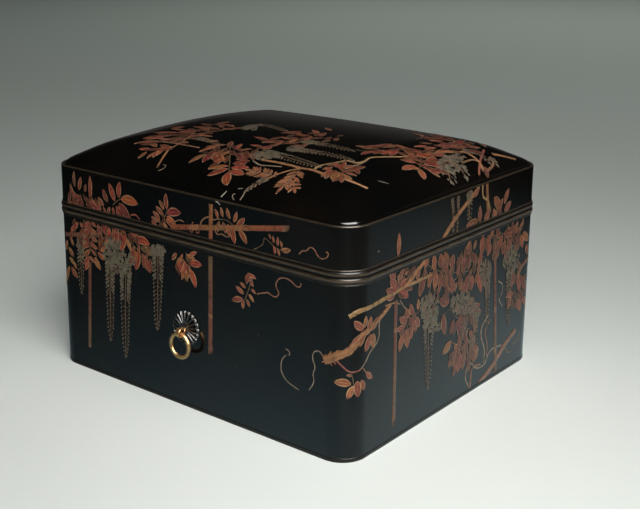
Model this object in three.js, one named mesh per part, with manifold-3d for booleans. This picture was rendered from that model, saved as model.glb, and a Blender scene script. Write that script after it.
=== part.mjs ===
// A lacquered wooden cosmetic box with a lift-off domed lid, in millimetres, +Z up.
// The origin is the centre of the base, on the surface that the box stands on.
// The front is the long side at -Y. A ring for a silk cord hangs on the front and on the back.
import * as THREE from "three";
import { mergeVertices } from "three/addons/utils/BufferGeometryUtils.js";
import Module from "manifold-3d";

const wasm = await Module();
wasm.setup();

// Driving dimensions of the carcass
const boxLength = 300;
const boxDepth = 260;
const cornerRadius = 20;
const seamHeight = 131.5;
const lidWallHeight = 34.5;
const bodyWall = 7;
const lidWall = 6.4;
const baseThickness = 6;
const rabbetDepth = 3;
const footHeight = 3;
const footWidth = 12;
const footBulge = 0.3;

// Edge mouldings where the lid meets the body
const rimHeight = 5.5;
const beadBulge = 1.3;
const filletHeight = 1.3;
const filletBulge = 0.6;

// Standing lip inside the body that the lid slides over
const lipThickness = 3.4;
const lipRiseShare = 0.377;
const lipDrop = 24;
const lipChamfer = 1.2;

// Domed top of the lid
const domeInset = 3.2;
const domeStep = 1.2;
const domeRise = 26.6;
const crownAlong = 0.1;
const crownAcross = 0.39;
const shoulderRun = 56;
const shoulderPower = 1.77;
const cornerBlend = 3.87;
const ceilingThickness = 7.5;
const plugDepth = 3;
const plugWidth = 7;
const shoulderBeadWidth = 2.4;
const shoulderBeadHeight = 1.1;

// Inner tray, which hangs in the mouth of the body by its flange
const trayGap = 0.8;
const trayWall = 3;
const trayDepth = 30;
const trayFloor = 3;
const trayFlangeThickness = 2.2;

// Clearances
const glueGap = 0.3;
const seamGap = 0.3;

// Cord-ring fittings
const fittingHeight = 63.8;
const ringRadius = 9.2;
const ringWire = 1.5;
const stripThickness = 0.8;
const stripWidth = 4;
const eyeHoleRadius = 2.75;
const eyeStandOff = 7.4;
const eyeSag = 1.9;
const eyeNeck = 3.6;
const ringDrop = 0.8;
const legGap = 0.5;
const stripBend = 1;
const splayLength = 7.5;
const petalCount = 18;
const rosetteRadius = 13.4;
const rosetteHub = 3.9;
const rosetteHeight = 2.8;
const rosetteRimHeight = 1.3;
const petalHollow = 0.9;
const washerRadius = 6.5;
const washerThickness = 0.9;
const washerRimFall = 0.5;

const cornerSteps = 7;
const domeSideSteps = 6;
const tightestRadius = 5;

const halfLength = boxLength / 2;
const halfDepth = boxDepth / 2;
const shoulderHeight = seamHeight + lidWallHeight;
const lipRise = lipRiseShare * lidWallHeight;

const finishes = {
  lacquer: new THREE.MeshStandardMaterial({ color: 0x14100f, roughness: 0.2, metalness: 0 }),
  goldLacquer: new THREE.MeshStandardMaterial({ color: 0x7a5a33, roughness: 0.35, metalness: 0.4 }),
  gilt: new THREE.MeshStandardMaterial({ color: 0xc9a45a, roughness: 0.3, metalness: 1 }),
  darkSilver: new THREE.MeshStandardMaterial({ color: 0x5d5a55, roughness: 0.35, metalness: 1 }),
};

const box = new THREE.Group();

function addPiece(name, geometry, finish) {
  const piece = new THREE.Mesh(geometry, finishes[finish]);
  piece.name = name;
  box.add(piece);
  return piece;
}

// Points of the plan outline, set in from the outer face, with the same count for every inset.
// Corner 0 is front right; each corner's arc is followed by the straight side after it.
function planCorner(corner, inset) {
  const signX = corner === 0 || corner === 1 ? 1 : -1;
  const signY = corner === 1 || corner === 2 ? 1 : -1;
  const radius = Math.max(cornerRadius - inset, tightestRadius);
  const centreX = signX * (halfLength - inset - radius);
  const centreY = signY * (halfDepth - inset - radius);
  const points = [];
  for (let step = 0; step <= cornerSteps; step += 1) {
    const angle = ((corner - 1 + step / cornerSteps) * Math.PI) / 2;
    // The ends of an arc lie exactly on the planes where the straight boards begin
    const cosine = (corner % 2 === 0 ? step === 0 : step === cornerSteps) ? 0 : Math.cos(angle);
    const sine = (corner % 2 === 0 ? step === cornerSteps : step === 0) ? 0 : Math.sin(angle);
    points.push([centreX + radius * cosine, centreY + radius * sine]);
  }
  return points;
}

function planSide(corner, inset, steps = 1) {
  const from = planCorner(corner, inset)[cornerSteps];
  const to = planCorner((corner + 1) % 4, inset)[0];
  return Array.from({ length: steps + 1 }, (_, step) =>
    from.map((value, axis) => value + ((to[axis] - value) * step) / steps),
  );
}

const planLoop = (inset, steps = 1) =>
  [0, 1, 2, 3].flatMap((corner) => [
    ...planCorner(corner, inset),
    ...planSide(corner, inset, steps).slice(1, steps),
  ]);

function geometryOf(points, triangles) {
  const geometry = new THREE.BufferGeometry();
  geometry.setAttribute("position", new THREE.Float32BufferAttribute(points.flat(), 3));
  geometry.setIndex(triangles.flat());
  geometry.computeVertexNormals();
  return geometry;
}

// Sweeps a closed section of [inset, height] points, listed anticlockwise with the inset to the left,
// along a stretch of the plan. A closed path makes a hoop, and an open one gets end faces.
function sweepSection(section, pathAt, closed) {
  const paths = section.map(([inset]) => pathAt(inset));
  const stations = paths[0].length;
  const count = section.length;
  const points = [];
  for (let station = 0; station < stations; station += 1) {
    section.forEach(([, height], index) => points.push([...paths[index][station], height]));
  }
  const triangles = [];
  const spans = closed ? stations : stations - 1;
  for (let span = 0; span < spans; span += 1) {
    const here = span * count;
    const there = ((span + 1) % stations) * count;
    for (let index = 0; index < count; index += 1) {
      const next = (index + 1) % count;
      triangles.push([here + index, there + index, there + next]);
      triangles.push([here + index, there + next, here + next]);
    }
  }
  if (!closed) {
    const outline = section.map(([inset, height]) => new THREE.Vector2(-inset, height));
    const last = (stations - 1) * count;
    THREE.ShapeUtils.triangulateShape(outline, []).forEach(([a, b, c]) => {
      triangles.push([a, b, c]);
      triangles.push([last + c, last + b, last + a]);
    });
  }
  return facingOut(geometryOf(points, triangles));
}

// Turns every face round if the solid came out inside out
function facingOut(geometry) {
  const at = geometry.getAttribute("position");
  const index = geometry.index.array;
  const corners = [new THREE.Vector3(), new THREE.Vector3(), new THREE.Vector3()];
  let volume = 0;
  for (let i = 0; i < index.length; i += 3) {
    corners.forEach((corner, k) => corner.fromBufferAttribute(at, index[i + k]));
    volume += corners[0].dot(corners[1].cross(corners[2]));
  }
  if (volume < 0) {
    for (let i = 0; i < index.length; i += 3) [index[i + 1], index[i + 2]] = [index[i + 2], index[i + 1]];
    geometry.computeVertexNormals();
  }
  return geometry;
}

// A solid whose skin runs from a centre point out over the rings and back to a centre point.
// Each ring is an inset of the plan and a height that may vary over the plan.
function ringSolid(rings, sideSteps = 1) {
  const points = [];
  rings.forEach(([inset, heightAt]) => {
    planLoop(inset, sideSteps).forEach(([x, y]) => points.push([x, y, heightAt(x, y)]));
  });
  const count = points.length / rings.length;
  const start = points.length;
  points.push([0, 0, rings[0][1](0, 0)]);
  points.push([0, 0, rings[rings.length - 1][1](0, 0)]);
  const triangles = [];
  for (let i = 0; i < count; i += 1) {
    const next = (i + 1) % count;
    triangles.push([start, next, i]);
    for (let ring = 0; ring < rings.length - 1; ring += 1) {
      const here = ring * count;
      const there = here + count;
      triangles.push([here + i, here + next, there + next]);
      triangles.push([here + i, there + next, there + i]);
    }
    const last = (rings.length - 1) * count;
    triangles.push([last + i, last + next, start + 1]);
  }
  return facingOut(geometryOf(points, triangles));
}

function solidOf(geometry) {
  const bare = geometry.clone();
  bare.deleteAttribute("normal");
  bare.deleteAttribute("uv");
  const merged = mergeVertices(bare, 1e-4);
  const vertProperties = new Float32Array(merged.attributes.position.array);
  return new wasm.Manifold(new wasm.Mesh({ numProp: 3, vertProperties, triVerts: new Uint32Array(merged.index.array) }));
}

function geometryFrom(solid) {
  const mesh = solid.getMesh();
  const points = [];
  for (let i = 0; i < mesh.numVert; i += 1) {
    points.push([...mesh.vertProperties.slice(i * mesh.numProp, i * mesh.numProp + 3)]);
  }
  return geometryOf(points, [[...mesh.triVerts]]);
}

const cutFrom = (geometry, tool) => geometryFrom(solidOf(geometry).subtract(solidOf(tool)));

// Half-round edge section, as [inset, height] points from one height to another
function roundedEdge(fromHeight, toHeight, bulge, steps) {
  const middle = (fromHeight + toHeight) / 2;
  const half = (toHeight - fromHeight) / 2;
  return Array.from({ length: steps + 1 }, (_, step) => {
    const angle = -Math.PI / 2 + (Math.PI * step) / steps;
    return [-bulge * Math.cos(angle), middle + half * Math.sin(angle)];
  });
}

// The carcass: each board and corner block is one section swept along its stretch of the plan
const sideNames = ["right", "back", "left", "front"];
const cornerNames = ["front_right", "back_right", "back_left", "front_left"];
const rimBottom = seamHeight - rimHeight;
const lidRimBottom = seamHeight + seamGap;
const lidRimTop = lidRimBottom + rimHeight;

const bodyWallSection = [
  [0, footHeight],
  [0, rimBottom],
  [bodyWall, rimBottom],
  [bodyWall, footHeight + baseThickness + glueGap],
  [bodyWall - rabbetDepth, footHeight + baseThickness + glueGap],
  [bodyWall - rabbetDepth, footHeight],
];

const lidWallSection = [
  [0, lidRimTop],
  [0, shoulderHeight],
  [lidWall, shoulderHeight],
  [lidWall, lidRimTop],
];

// A slot through the front or back board, the rosette or the washer, for the legs of the eye
function legSlot(spread = 0) {
  const height = 2 * (stripThickness + glueGap + spread) + legGap;
  const slot = new THREE.BoxGeometry(stripWidth + 2 * glueGap, boxDepth, height);
  slot.translate(0, 0, fittingHeight);
  return slot;
}

sideNames.forEach((name, corner) => {
  let board = sweepSection(bodyWallSection, (inset) => planSide(corner, inset), false);
  if (name === "front" || name === "back") board = cutFrom(board, legSlot());
  addPiece(`body_${name}_board`, board, "lacquer");
  const lidBoard = sweepSection(lidWallSection, (inset) => planSide(corner, inset), false);
  addPiece(`lid_${name}_board`, lidBoard, "lacquer");
});

cornerNames.forEach((name, corner) => {
  addPiece(
    `body_${name}_corner`,
    sweepSection(bodyWallSection, (inset) => planCorner(corner, inset), false),
    "lacquer",
  );
  addPiece(
    `lid_${name}_corner`,
    sweepSection(lidWallSection, (inset) => planCorner(corner, inset), false),
    "lacquer",
  );
});

addPiece(
  "base_board",
  ringSolid([
    [bodyWall - rabbetDepth + glueGap, () => footHeight],
    [bodyWall - rabbetDepth + glueGap, () => footHeight + baseThickness],
  ]),
  "lacquer",
);

addPiece(
  "foot_rim",
  sweepSection(
    [...roundedEdge(0, footHeight, footBulge, 6), [footWidth, footHeight], [footWidth, 0]],
    planLoop,
    true,
  ),
  "lacquer",
);

// Edge mouldings: a bead at the seam with a small fillet beside it
const bodyRimOuter = [
  ...roundedEdge(rimBottom, rimBottom + filletHeight, filletBulge, 4),
  ...roundedEdge(rimBottom + filletHeight, seamHeight, beadBulge, 8).slice(1),
];
addPiece(
  "body_rim",
  sweepSection([...bodyRimOuter, [bodyWall, seamHeight], [bodyWall, rimBottom]], planLoop, true),
  "goldLacquer",
);

const lidRimOuter = [
  ...roundedEdge(lidRimBottom, lidRimTop - filletHeight, beadBulge, 8),
  ...roundedEdge(lidRimTop - filletHeight, lidRimTop, filletBulge, 4).slice(1),
];
addPiece(
  "lid_rim",
  sweepSection([...lidRimOuter, [lidWall, lidRimTop], [lidWall, lidRimBottom]], planLoop, true),
  "goldLacquer",
);

// The standing lip: the long strips turn the corners, and the short strips close the ends
const lipOuter = bodyWall + glueGap;
const lipInner = lipOuter + lipThickness;
const lipSection = [
  [lipOuter, seamHeight - lipDrop],
  [lipOuter, seamHeight + lipRise - lipChamfer],
  [lipOuter + lipChamfer, seamHeight + lipRise],
  [lipInner - lipChamfer / 2, seamHeight + lipRise],
  [lipInner, seamHeight + lipRise - lipChamfer / 2],
  [lipInner, seamHeight - lipDrop],
];
const turnedStretch = (corner) => (inset) => [
  ...planCorner(corner, inset),
  ...planCorner((corner + 1) % 4, inset),
];
addPiece("lip_front_strip", sweepSection(lipSection, turnedStretch(3), false), "lacquer");
addPiece("lip_back_strip", sweepSection(lipSection, turnedStretch(1), false), "lacquer");
addPiece("lip_right_strip", sweepSection(lipSection, (inset) => planSide(0, inset), false), "lacquer");
addPiece("lip_left_strip", sweepSection(lipSection, (inset) => planSide(2, inset), false), "lacquer");

// The dome: a rounded shoulder that follows the edge, under a gentle crown
function domeHeight(x, y) {
  const edgeX = halfLength - domeInset;
  const edgeY = halfDepth - domeInset;
  const nearX = Math.max(0, 1 - (edgeX - Math.abs(x)) / shoulderRun);
  const nearY = Math.max(0, 1 - (edgeY - Math.abs(y)) / shoulderRun);
  const near = Math.min(1, (nearX ** cornerBlend + nearY ** cornerBlend) ** (1 / cornerBlend));
  const crown = 1 - crownAlong * (x / edgeX) ** 2 - crownAcross * (y / edgeY) ** 2;
  return domeRise * crown * (1 - near ** shoulderPower) ** (1 / shoulderPower);
}

const domeFoot = shoulderHeight + domeStep;
const plugInset = lidWall + glueGap;
const ceilingInset = plugInset + plugWidth;
const plugBottom = shoulderHeight - plugDepth;
const ceilingAt = (x, y) => Math.max(plugBottom, domeFoot + domeHeight(x, y) - ceilingThickness);
const ceilingInsets = [100, 72, 54, 40, 30, 23, 18];
const domeInsets = [0, 0.35, 1, 2.2, 4, 6.5, 10, 15, 21, 28, 36, 46, 58, 76, 98];
addPiece(
  "lid_top_board",
  ringSolid(
    [
      ...ceilingInsets.map((inset) => [inset, ceilingAt]),
      [ceilingInset, () => plugBottom],
      [plugInset, () => plugBottom],
      [plugInset, () => shoulderHeight],
      [domeInset, () => shoulderHeight],
      ...domeInsets.map((run) => [domeInset + run, (x, y) => domeFoot + domeHeight(x, y)]),
    ],
    domeSideSteps,
  ),
  "lacquer",
);

const shoulderBeadSection = Array.from({ length: 7 }, (_, step) => {
  const angle = (Math.PI * step) / 6;
  return [
    (shoulderBeadWidth / 2) * (1 - Math.cos(angle)),
    shoulderHeight + shoulderBeadHeight * Math.sin(angle),
  ];
});
addPiece("lid_shoulder_bead", sweepSection(shoulderBeadSection, planLoop, true), "goldLacquer");

// The tray: a board floor inside a bent wall, whose flange rests on the top of the lip
const trayOuter = lipInner + trayGap;
const trayInner = trayOuter + trayWall;
const trayFlangeBottom = seamHeight + lipRise;
const trayBottom = trayFlangeBottom - trayDepth;
addPiece(
  "tray_floor",
  ringSolid([
    [trayInner + glueGap, () => trayBottom],
    [trayInner + glueGap, () => trayBottom + trayFloor],
  ]),
  "lacquer",
);
addPiece(
  "tray_wall",
  sweepSection(
    [
      [trayOuter, trayBottom],
      [trayOuter, trayFlangeBottom],
      [trayInner, trayFlangeBottom],
      [trayInner, trayBottom],
    ],
    planLoop,
    true,
  ),
  "lacquer",
);
addPiece(
  "tray_flange",
  sweepSection(
    [
      [lipOuter + glueGap, trayFlangeBottom],
      [lipOuter + glueGap, trayFlangeBottom + trayFlangeThickness - 0.5],
      [lipOuter + glueGap + 0.5, trayFlangeBottom + trayFlangeThickness],
      [trayInner - 1, trayFlangeBottom + trayFlangeThickness],
      [trayInner, trayFlangeBottom + trayFlangeThickness - 1],
      [trayInner, trayFlangeBottom],
    ],
    planLoop,
    true,
  ),
  "goldLacquer",
);

// A fitting is built about the middle of its rosette, facing -Y, with y = 0 on the wall's outer face.
// The rosette: a domed chrysanthemum with hollowed petals, flat behind
function rosetteGeometry() {
  const stepsPerPetal = 4;
  const around = petalCount * stepsPerPetal;
  const rings = [0.5, 1, 1.1, 1.5, 2.3, 3.1, 3.55, 3.72];
  const points = [];
  const petalPhase = (step) => Math.abs(Math.sin((Math.PI * step) / stepsPerPetal));
  rings.forEach((ring) => {
    for (let step = 0; step < around; step += 1) {
      const angle = (2 * Math.PI * step) / around;
      const phase = petalPhase(step);
      const reach = Math.max(0, (ring - 1) / (rings[rings.length - 1] - 1));
      const tip = 1 - 0.07 * reach * (1 - phase) ** 2;
      const radius = rosetteHub + (rosetteRadius - rosetteHub) * reach;
      const dome = rosetteRimHeight + (rosetteHeight - rosetteRimHeight) * Math.sqrt(1 - 0.92 * reach * reach);
      const hollow = reach > 0 && reach < 1 ? petalHollow * phase * Math.sin(Math.PI * reach ** 0.8) ** 0.6 : 0;
      const inHub = ring < 1;
      const r = inHub ? rosetteHub * ring : radius * tip;
      const height = inHub ? rosetteHeight + 0.5 : dome - hollow;
      points.push([r * Math.cos(angle), -height, r * Math.sin(angle)]);
    }
  });
  // The edge runs straight back to the wall
  const edge = points.slice(points.length - around).map(([x, , z]) => [x, 0, z]);
  points.push(...edge);
  const front = points.length;
  points.push([0, -(rosetteHeight + 0.5), 0], [0, 0, 0]);
  const triangles = [];
  const ringCount = rings.length + 1;
  for (let step = 0; step < around; step += 1) {
    const next = (step + 1) % around;
    triangles.push([front, step, next]);
    for (let ring = 0; ring < ringCount - 1; ring += 1) {
      const here = ring * around;
      const there = here + around;
      triangles.push([here + step, there + step, there + next]);
      triangles.push([here + step, there + next, here + next]);
    }
    const last = (ringCount - 1) * around;
    triangles.push([last + step, front + 1, last + next]);
  }
  return facingOut(geometryOf(points, triangles));
}

// The eye: a flat strip bent round the ring, whose two legs pass through the wall and are splayed inside.
// Its loop hangs a little lower than the legs.
function eyeCentreLine() {
  const radius = eyeHoleRadius + stripThickness / 2;
  const legHeight = (stripThickness + legGap) / 2;
  const droop = Math.atan2(eyeSag, eyeStandOff - eyeNeck);
  const neckAngle = Math.asin(legHeight / radius);
  const inside = bodyWall + washerThickness + stripThickness / 2;
  const points = [[inside, legHeight + stripBend + splayLength]];
  for (let step = 0; step <= 3; step += 1) {
    const angle = (Math.PI / 2) * (step / 3);
    points.push([
      inside - stripBend + stripBend * Math.cos(angle),
      legHeight + stripBend - stripBend * Math.sin(angle),
    ]);
  }
  points.push([-eyeNeck, legHeight]);
  const turn = 20;
  for (let step = 0; step <= turn; step += 1) {
    const angle = droop + neckAngle + ((2 * Math.PI - 2 * neckAngle) * step) / turn;
    points.push([-eyeStandOff + radius * Math.cos(angle), -eyeSag + radius * Math.sin(angle)]);
  }
  points.push([-eyeNeck, -legHeight]);
  for (let step = 3; step >= 0; step -= 1) {
    const angle = (Math.PI / 2) * (step / 3);
    points.push([
      inside - stripBend + stripBend * Math.cos(angle),
      -legHeight - stripBend + stripBend * Math.sin(angle),
    ]);
  }
  points.push([inside, -legHeight - stripBend - splayLength]);
  return points.map(([y, z]) => new THREE.Vector2(y, z));
}

function eyeGeometry() {
  const line = eyeCentreLine();
  const half = stripThickness / 2;
  const side = (sign) =>
    line.map((point, i) => {
      const before = line[Math.max(0, i - 1)];
      const after = line[Math.min(line.length - 1, i + 1)];
      const along = after.clone().sub(before).normalize();
      return new THREE.Vector2(point.x - sign * half * along.y, point.y + sign * half * along.x);
    });
  const outline = [...side(1), ...side(-1).reverse()];
  const strip = new THREE.ExtrudeGeometry(new THREE.Shape(outline), { depth: stripWidth, bevelEnabled: false });
  strip.translate(0, 0, -stripWidth / 2);
  // The shape's x is the depth from the wall and its y the height, so the extrusion runs along the wall
  const turned = new THREE.Matrix4().set(0, 0, 1, 0, 1, 0, 0, 0, 0, 1, 0, 0, 0, 0, 0, 1);
  return strip.applyMatrix4(turned);
}

function washerGeometry() {
  const profile = [
    [0, 0],
    [washerRadius, 0],
    [washerRadius, washerThickness - washerRimFall],
    [washerRadius - 1, washerThickness],
    [0, washerThickness],
  ];
  const disc = new THREE.LatheGeometry(
    profile.map(([radius, height]) => new THREE.Vector2(radius, height)),
    32,
  );
  disc.translate(0, bodyWall, 0);
  return disc;
}

const slotAtOrigin = legSlot().translate(0, 0, -fittingHeight);
const bendSlotAtOrigin = legSlot(stripBend / 2).translate(0, 0, -fittingHeight);

function addFitting(side, facing) {
  const fitting = new THREE.Group();
  fitting.position.set(0, facing * halfDepth, fittingHeight);
  fitting.rotation.z = facing > 0 ? Math.PI : 0;
  const pieces = [
    [`rosette_${side}`, cutFrom(rosetteGeometry(), slotAtOrigin), "darkSilver"],
    [`ring_eye_${side}`, eyeGeometry(), "gilt"],
    [`inner_washer_${side}`, cutFrom(washerGeometry(), bendSlotAtOrigin), "gilt"],
  ];
  pieces.forEach(([name, geometry, finish]) => fitting.add(addPiece(name, geometry, finish)));
  const ring = new THREE.TorusGeometry(ringRadius, ringWire, 10, 36);
  ring.rotateX(Math.PI / 2);
  ring.translate(0, -eyeStandOff, -eyeSag - ringDrop - ringRadius);
  fitting.add(addPiece(`cord_ring_${side}`, ring, "gilt"));
  box.add(fitting);
}

addFitting("front", -1);
addFitting("back", 1);

export default box;
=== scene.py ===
import math
import random

import bpy
import numpy as np
from mathutils import Matrix, Vector


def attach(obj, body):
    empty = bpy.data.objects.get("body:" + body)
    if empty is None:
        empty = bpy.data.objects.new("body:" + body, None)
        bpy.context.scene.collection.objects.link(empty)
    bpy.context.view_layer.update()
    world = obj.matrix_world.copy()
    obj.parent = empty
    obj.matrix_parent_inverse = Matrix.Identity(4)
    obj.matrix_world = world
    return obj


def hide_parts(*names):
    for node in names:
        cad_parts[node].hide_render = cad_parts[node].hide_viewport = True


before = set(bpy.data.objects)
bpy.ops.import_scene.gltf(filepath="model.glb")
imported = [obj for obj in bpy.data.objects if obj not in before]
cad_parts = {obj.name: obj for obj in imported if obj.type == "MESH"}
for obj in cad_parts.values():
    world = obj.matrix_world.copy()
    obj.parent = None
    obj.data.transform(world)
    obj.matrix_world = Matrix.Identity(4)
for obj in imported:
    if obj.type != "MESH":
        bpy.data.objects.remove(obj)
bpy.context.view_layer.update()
mm = 0.001
print("frame loaded")


cameraPlace = {
    "azimuth": 38.172,  # degrees round from the front
    "pitch": 14.139,
    "roll": 0.627,
    "focal": 1097.5,  # in pixels of the picture
    "pictureWidth": 640,
    "sensorWidth": 36,
    "aimAside": 17.1,  # mm from the axis, across the view
    "aimHeight": 143.7,
    "distance": 891.7,
    "shiftUp": -0.1,
    "clip": (0.01, 50),  # m
}


def placeCamera(p):
    az, pitch, roll = (math.radians(p[k]) for k in ("azimuth", "pitch", "roll"))
    across = Vector((math.cos(az), math.sin(az), 0))
    back = Vector((math.sin(az) * math.cos(pitch), -math.cos(az) * math.cos(pitch), math.sin(pitch)))
    up = across.cross(-back)
    right = across * math.cos(roll) + up * math.sin(roll)
    up = -across * math.sin(roll) + up * math.cos(roll)
    aim = Vector((0, 0, p["aimHeight"])) + across * p["aimAside"]
    data = bpy.data.cameras.new("camera")
    data.sensor_width = p["sensorWidth"]
    data.lens = p["focal"] / p["pictureWidth"] * data.sensor_width
    data.shift_y = p["shiftUp"]
    data.clip_start, data.clip_end = p["clip"]
    cam = bpy.data.objects.new("camera", data)
    turn = Matrix((right, up, back)).transposed().to_4x4()
    cam.matrix_world = Matrix.Translation((aim + back * p["distance"]) * mm) @ turn
    bpy.context.scene.collection.objects.link(cam)
    bpy.context.scene.camera = cam


placeCamera(cameraPlace)


def newMaterial(name):
    mat = bpy.data.materials.new(name)
    mat.use_nodes = True
    nodes = mat.node_tree.nodes
    return mat, nodes, mat.node_tree.links, nodes["Principled BSDF"]


def objectPlace(nodes):
    return nodes.new("ShaderNodeTexCoord").outputs["Object"]


def attribute(nodes, name):
    node = nodes.new("ShaderNodeAttribute")
    node.attribute_name = name
    return node.outputs


def noise(nodes, links, place, scale, detail, roughness=0.5):
    node = nodes.new("ShaderNodeTexNoise")
    for key, value in (("Scale", scale), ("Detail", detail), ("Roughness", roughness)):
        node.inputs[key].default_value = value
    links.new(place, node.inputs["Vector"])
    return node.outputs["Fac"]


def ramp(nodes, links, source, stops, smooth=False):
    # stops are (place, colour) pairs; a bare number is a grey
    node = nodes.new("ShaderNodeValToRGB")
    node.color_ramp.interpolation = "EASE" if smooth else "LINEAR"
    elements = node.color_ramp.elements
    while len(elements) < len(stops):
        elements.new(0.5)
    for element, (place, colour) in zip(elements, stops):
        element.position = place
        element.color = (*(colour if isinstance(colour, tuple) else (colour,) * 3), 1)
    links.new(source, node.inputs["Fac"])
    return node.outputs["Color"]


def spread(nodes, links, source, limits):
    # Stretches a 0 to 1 value between two limits
    node = nodes.new("ShaderNodeMapRange")
    node.inputs["To Min"].default_value, node.inputs["To Max"].default_value = limits
    links.new(source, node.inputs["Value"])
    return node.outputs["Result"]


def blend(nodes, links, factor, a, b, way="MIX"):
    # factor, a and b are each a value or another node's output
    node = nodes.new("ShaderNodeMix")
    node.data_type = "RGBA"
    node.blend_type = way
    for key, value in (("Factor", factor), ("A", a), ("B", b)):
        if isinstance(value, bpy.types.NodeSocket):
            links.new(value, node.inputs[key])
        else:
            node.inputs[key].default_value = (*value, 1) if isinstance(value, tuple) else value
    return node.outputs["Result"]


def smoothStep(low, high, value):
    t = min(1, max(0, (value - low) / (high - low)))
    return t * t * (3 - 2 * t)


paintedReflection = {  # a glowing sheet that paints the lit paper's reflection for glossy surfaces; lengths in mm
    "near": (0.87, 1.09, 1.12),
    "frontTint": (0.83, 1.0, 1.08),  # a little bluer before the box
    "far": (0.05, 0.036, 0.034),
    "reach": 120,
    "fall": 1.4,
    "leftDim": (35, 115),  # painted shade to the left: where half is left, and how softly it goes
    "backEdge": (540, 40),
    "farRise": (700, 1100),
    "boxHalf": (150, 130),
    "cells": (25, 26),
    "steps": (8, 20, 35, 55, 80, 110, 150, 200, 260, 340, 440, 560, 720, 950, 1300, 1900, 3000, 6800),
    "lift": 0.1,
}


def paintedReflectionAt(x, y):
    # The painted pool of light in the reflection: dimmer away from the box and towards the front left
    p, (boxX, boxY) = paintedReflection, paintedReflection["boxHalf"]
    out = max(abs(x) - boxX, abs(y) - boxY, 0)
    near = 1 / (1 + (out / p["reach"]) ** p["fall"])
    aside = 1 / (1 + math.exp(-(x + out - p["leftDim"][0]) / p["leftDim"][1]))
    edge = 1 / (1 + math.exp(min(50, (y - p["backEdge"][0]) / p["backEdge"][1])))
    far = smoothStep(*p["farRise"], y)
    before = max(0, -boxY - y) / (max(0, -boxY - y) + max(0, x - boxX) + 1)
    tint = [1 + (t - 1) * before for t in p["frontTint"]]
    return [n * t * near * aside * edge + f * far for n, t, f in zip(p["near"], tint, p["far"])]


def gridLine(half, cell):
    # Even cells over the box, then wider and wider ones
    steps = paintedReflection["steps"]
    return [-half - d for d in reversed(steps)] + list(range(-half, half + 1, cell)) + [half + d for d in steps]


def buildPaintedReflection():
    # A glowing sheet just over the paper that only glossy surfaces see: a painted reflection of the lit paper
    xs, ys = map(gridLine, paintedReflection["boxHalf"], paintedReflection["cells"])
    verts = [(x * mm, y * mm, paintedReflection["lift"] * mm) for y in ys for x in xs]
    faces = []
    for r in range(len(ys) - 1):
        for c in range(len(xs) - 1):
            a = r * len(xs) + c
            faces.append((a, a + 1, a + len(xs) + 1, a + len(xs)))
    mesh = bpy.data.meshes.new("paintedPaperReflection")
    mesh.from_pydata(verts, [], faces)
    reflectionGlow = mesh.attributes.new("reflectionGlow", "FLOAT_COLOR", "POINT")
    reflectionGlow.data.foreach_set("color", [c for y in ys for x in xs for c in (*paintedReflectionAt(x, y), 1)])
    sheet = bpy.data.objects.new("paintedPaperReflection", mesh)
    bpy.context.scene.collection.objects.link(sheet)
    mat, nodes, links, shader = newMaterial("painted reflection of the lit paper")
    shader.inputs["Base Color"].default_value = (0, 0, 0, 1)
    shader.inputs["Specular IOR Level"].default_value = 0
    # The sheet glows by its own emission, though it is no lamp: painted light
    shader.inputs["Emission Strength"].default_value = 1
    links.new(attribute(nodes, "reflectionGlow")["Color"], shader.inputs["Emission Color"])
    mesh.materials.append(mat)
    sheet.visible_camera = sheet.visible_diffuse = sheet.visible_shadow = False
    sheet.visible_transmission = sheet.visible_volume_scatter = False


studio = {
    "paper": (0.76, 0.79, 0.745),
    "paperRoughness": 0.9,
    "paperSpecular": 0.1,
    "paperRings": (0.2, 0.45, 0.8, 1.3, 2.2, 3.8, 7.0),  # m
    "paperPoints": 48,
    "air": [(0.02, (0.08, 0.075, 0.07)), (0.22, (0.006, 0.007, 0.007))],  # the dim room, from its horizon up
}
white, backTint = (1, 1, 1), (0.93, 1.05, 0.98)
lamps = {  # place, aim, size in m, power in W, spread in degrees, tint
    "keyLight": ((1.4, -0.8, 1.8), (0.1, 0, 0), (1.0, 1.0), 25.5, 180, white),
    "backRightLight": ((1.5, 3.5, 3.0), (1.5, 3.5, 0), (2.0, 2.0), 15.5, 180, backTint),
    "backLeftLight": ((-1.5, 3.0, 2.5), (-1.5, 3.0, 0), (2.0, 2.0), 14.5, 180, backTint),
    "frontLight": ((0.6, -0.7, 0.6), (0.12, -0.16, 0), (0.4, 0.4), 0.78, 60, white),
    "rightLight": ((0.9, -0.1, 0.7), (0.16, 0, 0), (0.4, 0.4), 0.58, 70, white),
    "leftLight": ((-0.6, -0.6, 0.5), (-0.15, -0.15, 0), (0.4, 0.3), 0.1, 60, white),
    "cornerLight": ((0.71, -0.38, 0.94), (0.13, -0.11, 0.17), (0.9, 0.95), 60, 180, white),
}
glintLamp = "cornerLight"  # seen in the gloss, where the others are not, and nowhere else


def addLamp(name, place, aim, size, power, cone, tint):
    data = bpy.data.lights.new(name, "AREA")
    data.shape = "RECTANGLE"
    data.size, data.size_y = size
    data.energy = power
    data.color = tint
    data.spread = math.radians(cone)
    lamp = bpy.data.objects.new(name, data)
    lamp.location = place
    lamp.rotation_mode = "QUATERNION"
    lamp.rotation_quaternion = (Vector(aim) - Vector(place)).to_track_quat("-Z", "Y")
    lamp.visible_camera = False
    lamp.visible_glossy = name == glintLamp
    lamp.visible_diffuse = name != glintLamp
    bpy.context.scene.collection.objects.link(lamp)


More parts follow.
